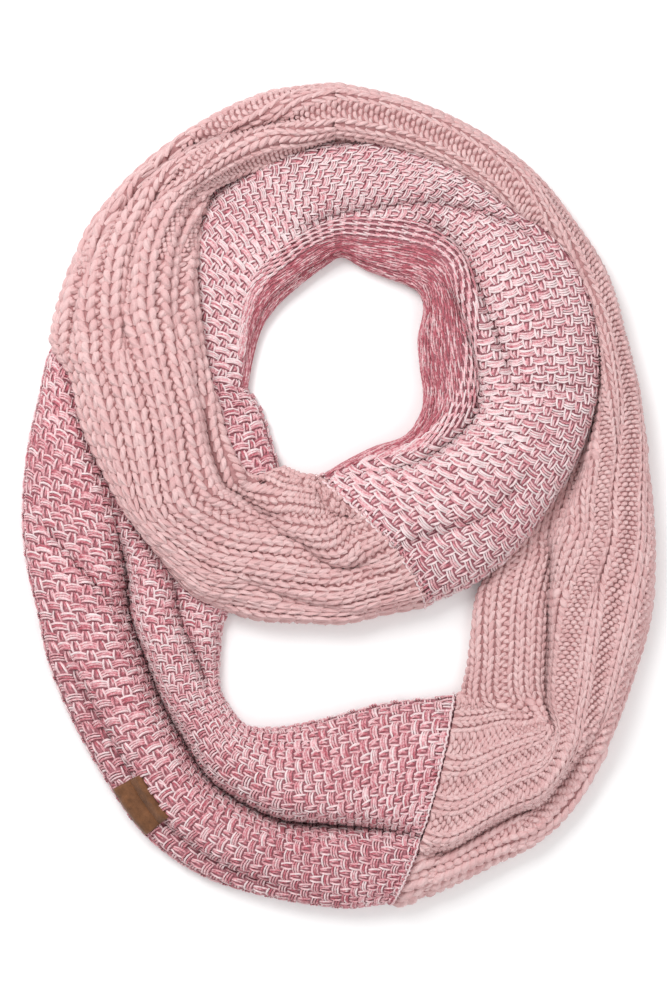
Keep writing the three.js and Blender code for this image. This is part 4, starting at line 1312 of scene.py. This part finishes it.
def tuck_strands(cloth, covers, random, bands):
    """Basket cells of marled strands: arched bars across, and uprights with a hole at their foot."""
    strands = Strands(cloth, covers)
    for near, far, wales, pitch, pattern, paler in bands:
        rows = cloth.rows_along((near[1] + far[1]) / 2, (pitch, pitch, pitch))
        for r, u in enumerate(rows[:-1]):
            step = rows[r + 1] - u
            start = along_stretch(near, u / cloth.last)
            width = (along_stretch(far, u / cloth.last) - start) / wales
            if width * cloth.length_across.mean() < LEAST_CELL:
                continue
            for w in range(wales):
                thickness = TUCK_RADIUS * varied(random, 0.2)
                tones = random.random(3) * TONE_CHANCE + paler
                cell = Cell(u, step, start + (w + 0.5) * width, width, thickness, tones)
                if pattern == "floats":
                    shifts = [0.5 * ((w + k) % 2) for k in range(2)]
                    leans = [FLOAT_LEAN[0] + FLOAT_LEAN[1] * random.random() for _ in range(2)]
                    add_cell(strands, cell, FLOAT_CELL, shifts, leans)
                elif pattern == "ladder":
                    add_cell(strands, cell, LADDER_CELL)
                elif (r + w) % 2 == 0:
                    order = random.permutation(3) if random.random() < 0.5 else (0, 1, 2)
                    add_cell(strands, cell, bar_cell(order))
                else:
                    add_cell(strands, cell, UPRIGHT_CELL)
    if cloth.name == "tuck_panel_ring":
        seam_strands(strands, 0, 1, random)
    elif bands[0] is TUCK_LAYOUT[cloth.name][0]:
        seam_strands(strands, cloth.last, -1, random)
    return strands


def seam_strands(strands, station, inwards, random):
    """Pale overlock stitches over the end of a tuck stretch, where the rib is sewn to it."""
    cloth = strands.cloth
    pitch = SEAM_PITCH / cloth.length_across[0 if station == 0 else -1]
    near = station + SEAM_NEAR * inwards
    for share in np.arange(*SEAM_SHARES, pitch):
        far = station + (SEAM_FAR + SEAM_FAR_CHANCE * random.random()) * inwards
        strands.add(1, (near, share), (far, share + SEAM_LEAN * pitch), SEAM_THICKNESS, SEAM_ACROSS_LIFTS,
                    False, random.random())
        strands.add(0, (near, share), (near, share + SEAM_REACH * pitch), SEAM_THICKNESS, SEAM_ALONG_LIFTS,
                    False, SEAM_TONE)


def make_stitches(names, tree, identifiers, nominal, gather, settings, suffix):
    """Gathers the strands of each named stretch and has the stitch tree make them."""
    for number, name in enumerate(names):
        random = np.random.default_rng(SEED + number)
        made = MADE[name]
        covers = [MADE[other]["tree"] for other in STRETCHES if name in STRETCHES[other]["rests_on"]]
        points = gather(made["cloth"], covers, random).point_mesh(name + "_" + suffix, nominal, random)
        piece = knitted_piece(name.replace("panel", suffix), points, tree, identifiers, settings)
        made["with"].append(piece)


class SCARF_OT_rib_stitches(bpy.types.Operator):
    """Knit the rib panel: knit columns in pairs, with purl gutters between them."""
    bl_idname = "scarf.rib_stitches"
    bl_label = "Rib stitches"

    def execute(self, context):
        yarn = context.scene.scarf_yarn
        plies = {"Turns": 0.5, "Plies": 3.0, "Ply turns": 1.4, "Fibre scale": 1200.0}
        colours = ((0.0, (*yarn.rib_dark, 1)), (RIB_LIGHT_PLACE, (*yarn.rib_light, 1)))
        material = yarn_material("rib_yarn", MADE["twist"], colours, plies, (0.35, 0.35, 0.5))
        settings = {"Yarn": material, "Yarn radius": yarn.radius, "Sides": 5, "Steps": 4, "Tip share": 0.6}
        nominal = (7, 5)
        tree, identifiers = stitch_tree("Rib stitches", RIB_KINDS, nominal)
        names = ("rib_panel_right", "rib_panel_crossing")
        make_stitches(names, tree, identifiers, nominal, knit_strands, settings, "knit")
        make_stitches(names, tree, identifiers, nominal, purl_strands, settings, "purl")
        return {"FINISHED"}


class SCARF_OT_tuck_stitches(bpy.types.Operator):
    """Knit the tuck-stitch panel from marled yarn: bars across, with uprights between them."""
    bl_idname = "scarf.tuck_stitches"
    bl_label = "Tuck stitches"

    def execute(self, context):
        yarn = context.scene.scarf_yarn
        plies = {"Turns": 0.7, "Plies": 2.0, "Ply turns": 1.2, "Fibre scale": 800.0}
        middles = [(place, colour(text)) for place, text in MARL_MIDDLES]
        colours = ((MARL_DARK_PLACE, (*yarn.marl_dark, 1)), *middles,
                   (MARL_LIGHT_PLACE, (*yarn.marl_light, 1)))
        material = yarn_material("marl_yarn", MADE["twist"], colours, plies, (0.5, 0.85, 0.4))
        settings = {"Yarn": material, "Yarn radius": yarn.tuck_radius, "Sides": 5, "Steps": 3,
                    "Tip share": 0.75}
        nominal = (7, 5.5, 8)
        tree, identifiers = stitch_tree("Tuck stitches", TUCK_KINDS, nominal)
        ring, outer = TUCK_LAYOUT["tuck_panel_ring"], TUCK_LAYOUT["tuck_panel_outer"]
        for name, suffix, bands in (("tuck_panel_ring", "stitches", ring),
                                    ("tuck_panel_outer", "roll_stitches", outer[:1]),
                                    ("tuck_panel_outer", "hump_stitches", outer[1:])):
            make_stitches((name,), tree, identifiers, nominal, partial(tuck_strands, bands=bands),
                          settings, suffix)
        return {"FINISHED"}


def patch_points(patch, cloth):
    """The patch's face and then its back, row by row along the strip, a little wavy and low at its rim."""
    random = np.random.default_rng(SEED)
    total = cloth.length_across[np.argmin(np.abs(cloth.u - PATCH_STATION))]
    points = []
    for lift in (patch.thickness / MM + PATCH_FACE_LIFT, PATCH_BACK_LIFT):
        for i in range(PATCH_COLUMNS + 1):
            for j in range(PATCH_LINES + 1):
                along = (i / PATCH_COLUMNS - 0.5) * patch.length / MM
                across = PATCH_FROM_EDGE + j / PATCH_LINES * patch.width / MM
                outwards = max(abs(2 * i / PATCH_COLUMNS - 1), abs(2 * j / PATCH_LINES - 1))
                rim = smooth((outwards - PATCH_RIM_FROM) / (1 - PATCH_RIM_FROM))
                drop = PATCH_RIM_DROP * rim if lift > 0 else 0
                station = PATCH_STATION + along / PATCH_STATION_LENGTH
                point, normal, _, _ = cloth.at(np.array([station]), np.array([across / total]))
                wave = PATCH_WAVE * math.sin(i * 0.9) * math.sin(j * 0.7 + 1) + PATCH_GRAIN * random.random()
                points.append(tuple((point[0] + normal[0] * (lift - drop + wave)) * MM))
    return points


def patch_faces():
    """Faces of the patch's face, its back and the rim between them."""
    faces = []
    size = PATCH_LINES + 1
    layer = (PATCH_COLUMNS + 1) * size
    for i in range(PATCH_COLUMNS):
        for j in range(PATCH_LINES):
            a = i * size + j
            b, c, d = a + size, a + size + 1, a + 1
            faces.append((a, b, c, d))
            faces.append((layer + a, layer + d, layer + c, layer + b))
    rim = [i * size for i in range(PATCH_COLUMNS)]
    rim += [PATCH_COLUMNS * size + j for j in range(PATCH_LINES)]
    rim += [i * size + PATCH_LINES for i in range(PATCH_COLUMNS, 0, -1)]
    rim += [j for j in range(PATCH_LINES, 0, -1)]
    for a, b in zip(rim, rim[1:] + rim[:1]):
        faces.append((b, a, layer + a, layer + b))
    return faces


class SCARF_OT_patch(bpy.types.Operator):
    """Make the bare leather patch that is sewn on the outer roll."""
    bl_idname = "scarf.patch"
    bl_label = "Leather patch"

    def execute(self, context):
        patch = context.scene.scarf_patch
        if "tuck_panel_outer" not in MADE:
            raise RuntimeError("the patch needs the outer stretch of cloth first")
        mesh = bpy.data.meshes.new("patch_leather")
        mesh.from_pydata(patch_points(patch, MADE["tuck_panel_outer"]["cloth"]), [], patch_faces())
        for polygon in mesh.polygons:
            polygon.use_smooth = True
        mesh.materials.append(leather_material(patch))
        piece = new_object("leather_patch_piece", mesh)
        mesh.update()
        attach(piece, ROOT)
        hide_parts("leather_patch")
        return {"FINISHED"}


def leather_material(patch):
    """Sueded leather: a fine grain, and a cloud of darker and lighter brown."""
    material, shader, make = new_material("patch_leather", 0.6, 0.1)
    place = make("ShaderNodeTexCoord", outputs="Object")
    grain = make("ShaderNodeTexVoronoi", outputs="Distance",
                 values={"Vector": place, "Scale": 1500.0, "Randomness": 1.0})
    cloud = make("ShaderNodeTexNoise", outputs="Fac",
                 values={"Vector": place, "Scale": 180.0, "Detail": 5.0, "Roughness": 0.6})
    dark = tuple(0.45 * v for v in patch.leather)
    light = tuple(min(1, 1.25 * v) for v in patch.leather)
    link(material.node_tree, ramp(make, cloud, ((0.25, (*dark, 1)), (0.75, (*light, 1)))),
         shader.inputs["Base Color"])
    mixed = make("ShaderNodeMath", operation="MULTIPLY_ADD", values={0: cloud, 1: 0.5, 2: grain})
    add_bump(material, make, shader, mixed, 0.5, 0.0003)
    return material


class SCARF_OT_stage(bpy.types.Operator):
    """Make the pale floor, the soft lights and the camera that looks straight down."""
    bl_idname = "scarf.stage"
    bl_label = "Stage"

    def execute(self, context):
        stage = context.scene.scarf_stage
        mesh = bpy.data.meshes.new("stage_floor")
        corners = [(x * FLOOR_HALF, y * FLOOR_HALF, 0) for x, y in ((-1, -1), (1, -1), (1, 1), (-1, 1))]
        mesh.from_pydata(corners, [], [(0, 1, 2, 3)])
        material, shader, make = new_material("pale_floor", 0.9, 0.0)
        shader.inputs["Base Color"].default_value = (0.97, 0.97, 0.97, 1)
        mesh.materials.append(material)
        floor = new_object("stage_floor", mesh)
        floor.location.z = -FLOOR_DROP
        floor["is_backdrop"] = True
        MADE["floor"] = floor

        camera = bpy.data.cameras.new("camera")
        camera.lens = stage.lens
        camera.sensor_width = 36
        viewer = new_object("camera", camera)
        viewer.location = (*CAMERA_PLACE, stage.camera_height)
        context.scene.camera = viewer

        world = context.scene.world or bpy.data.worlds.new("studio")
        context.scene.world = world
        world.use_nodes = True
        background = world.node_tree.nodes["Background"]
        background.inputs["Color"].default_value = (1, 1, 1, 1)
        background.inputs["Strength"].default_value = stage.surround
        for name, setting, size, place in LIGHTS:
            light = bpy.data.lights.new(name, "AREA")
            light.energy = getattr(stage, setting)
            light.size = size
            lamp = new_object(name, light)
            lamp.location = place
            lamp.rotation_euler = (-Vector(place)).to_track_quat("-Z", "Y").to_euler()
        context.scene.view_settings.view_transform = "Standard"
        return {"FINISHED"}


class SCARF_OT_declare(bpy.types.Operator):
    """Look up each stretch's cloth, the pieces it lies on and its own pieces, and do nothing more with them.
    """
    bl_idname = "scarf.declare"
    bl_label = "Flat sizes"

    def execute(self, context):
        for name in STRETCHES:
            made = MADE[name]
            cloth = made["cloth"]
            below = [MADE[other]["piece"] for other in cloth.stretch["rests_on"]]
            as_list(made["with"])
        return {"FINISHED"}


class SCARF_PT_panel(bpy.types.Panel):
    """Sizes, colours and steps of the scarf."""
    bl_idname = "SCARF_PT_panel"
    bl_label = "Scarf"
    bl_space_type = "VIEW_3D"
    bl_region_type = "UI"
    bl_category = "Scarf"

    def draw(self, context):
        for settings in (context.scene.scarf_yarn, context.scene.scarf_patch, context.scene.scarf_stage):
            box = self.layout.box()
            for label in type(settings).__annotations__:
                box.prop(settings, label)
        for operator in OPERATORS:
            self.layout.operator(operator.bl_idname)


OPERATORS = (
    SCARF_OT_cloth,
    SCARF_OT_rib_stitches,
    SCARF_OT_tuck_stitches,
    SCARF_OT_patch,
    SCARF_OT_stage,
    SCARF_OT_declare,
)
SETTINGS = (("scarf_yarn", ScarfYarn), ("scarf_patch", ScarfPatch), ("scarf_stage", ScarfStage))


def register():
    for _, settings in SETTINGS:
        bpy.utils.register_class(settings)
    for name, settings in SETTINGS:
        setattr(bpy.types.Scene, name, bpy.props.PointerProperty(type=settings))
    for operator in OPERATORS:
        bpy.utils.register_class(operator)
    bpy.utils.register_class(SCARF_PT_panel)


def unregister():
    bpy.utils.unregister_class(SCARF_PT_panel)
    for operator in reversed(OPERATORS):
        bpy.utils.unregister_class(operator)
    for name, settings in reversed(SETTINGS):
        delattr(bpy.types.Scene, name)
        bpy.utils.unregister_class(settings)


def main():
    register()
    MADE["twist"] = yarn_twist_group()
    bpy.ops.scarf.cloth()
    bpy.ops.scarf.rib_stitches()
    bpy.ops.scarf.tuck_stitches()
    bpy.ops.scarf.patch()
    bpy.ops.scarf.stage()
    bpy.ops.scarf.declare()
    cad, visual = ([list(corner) for corner in box] for box in (CAD_BOX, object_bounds()))


if __name__ == "__main__":
    main()
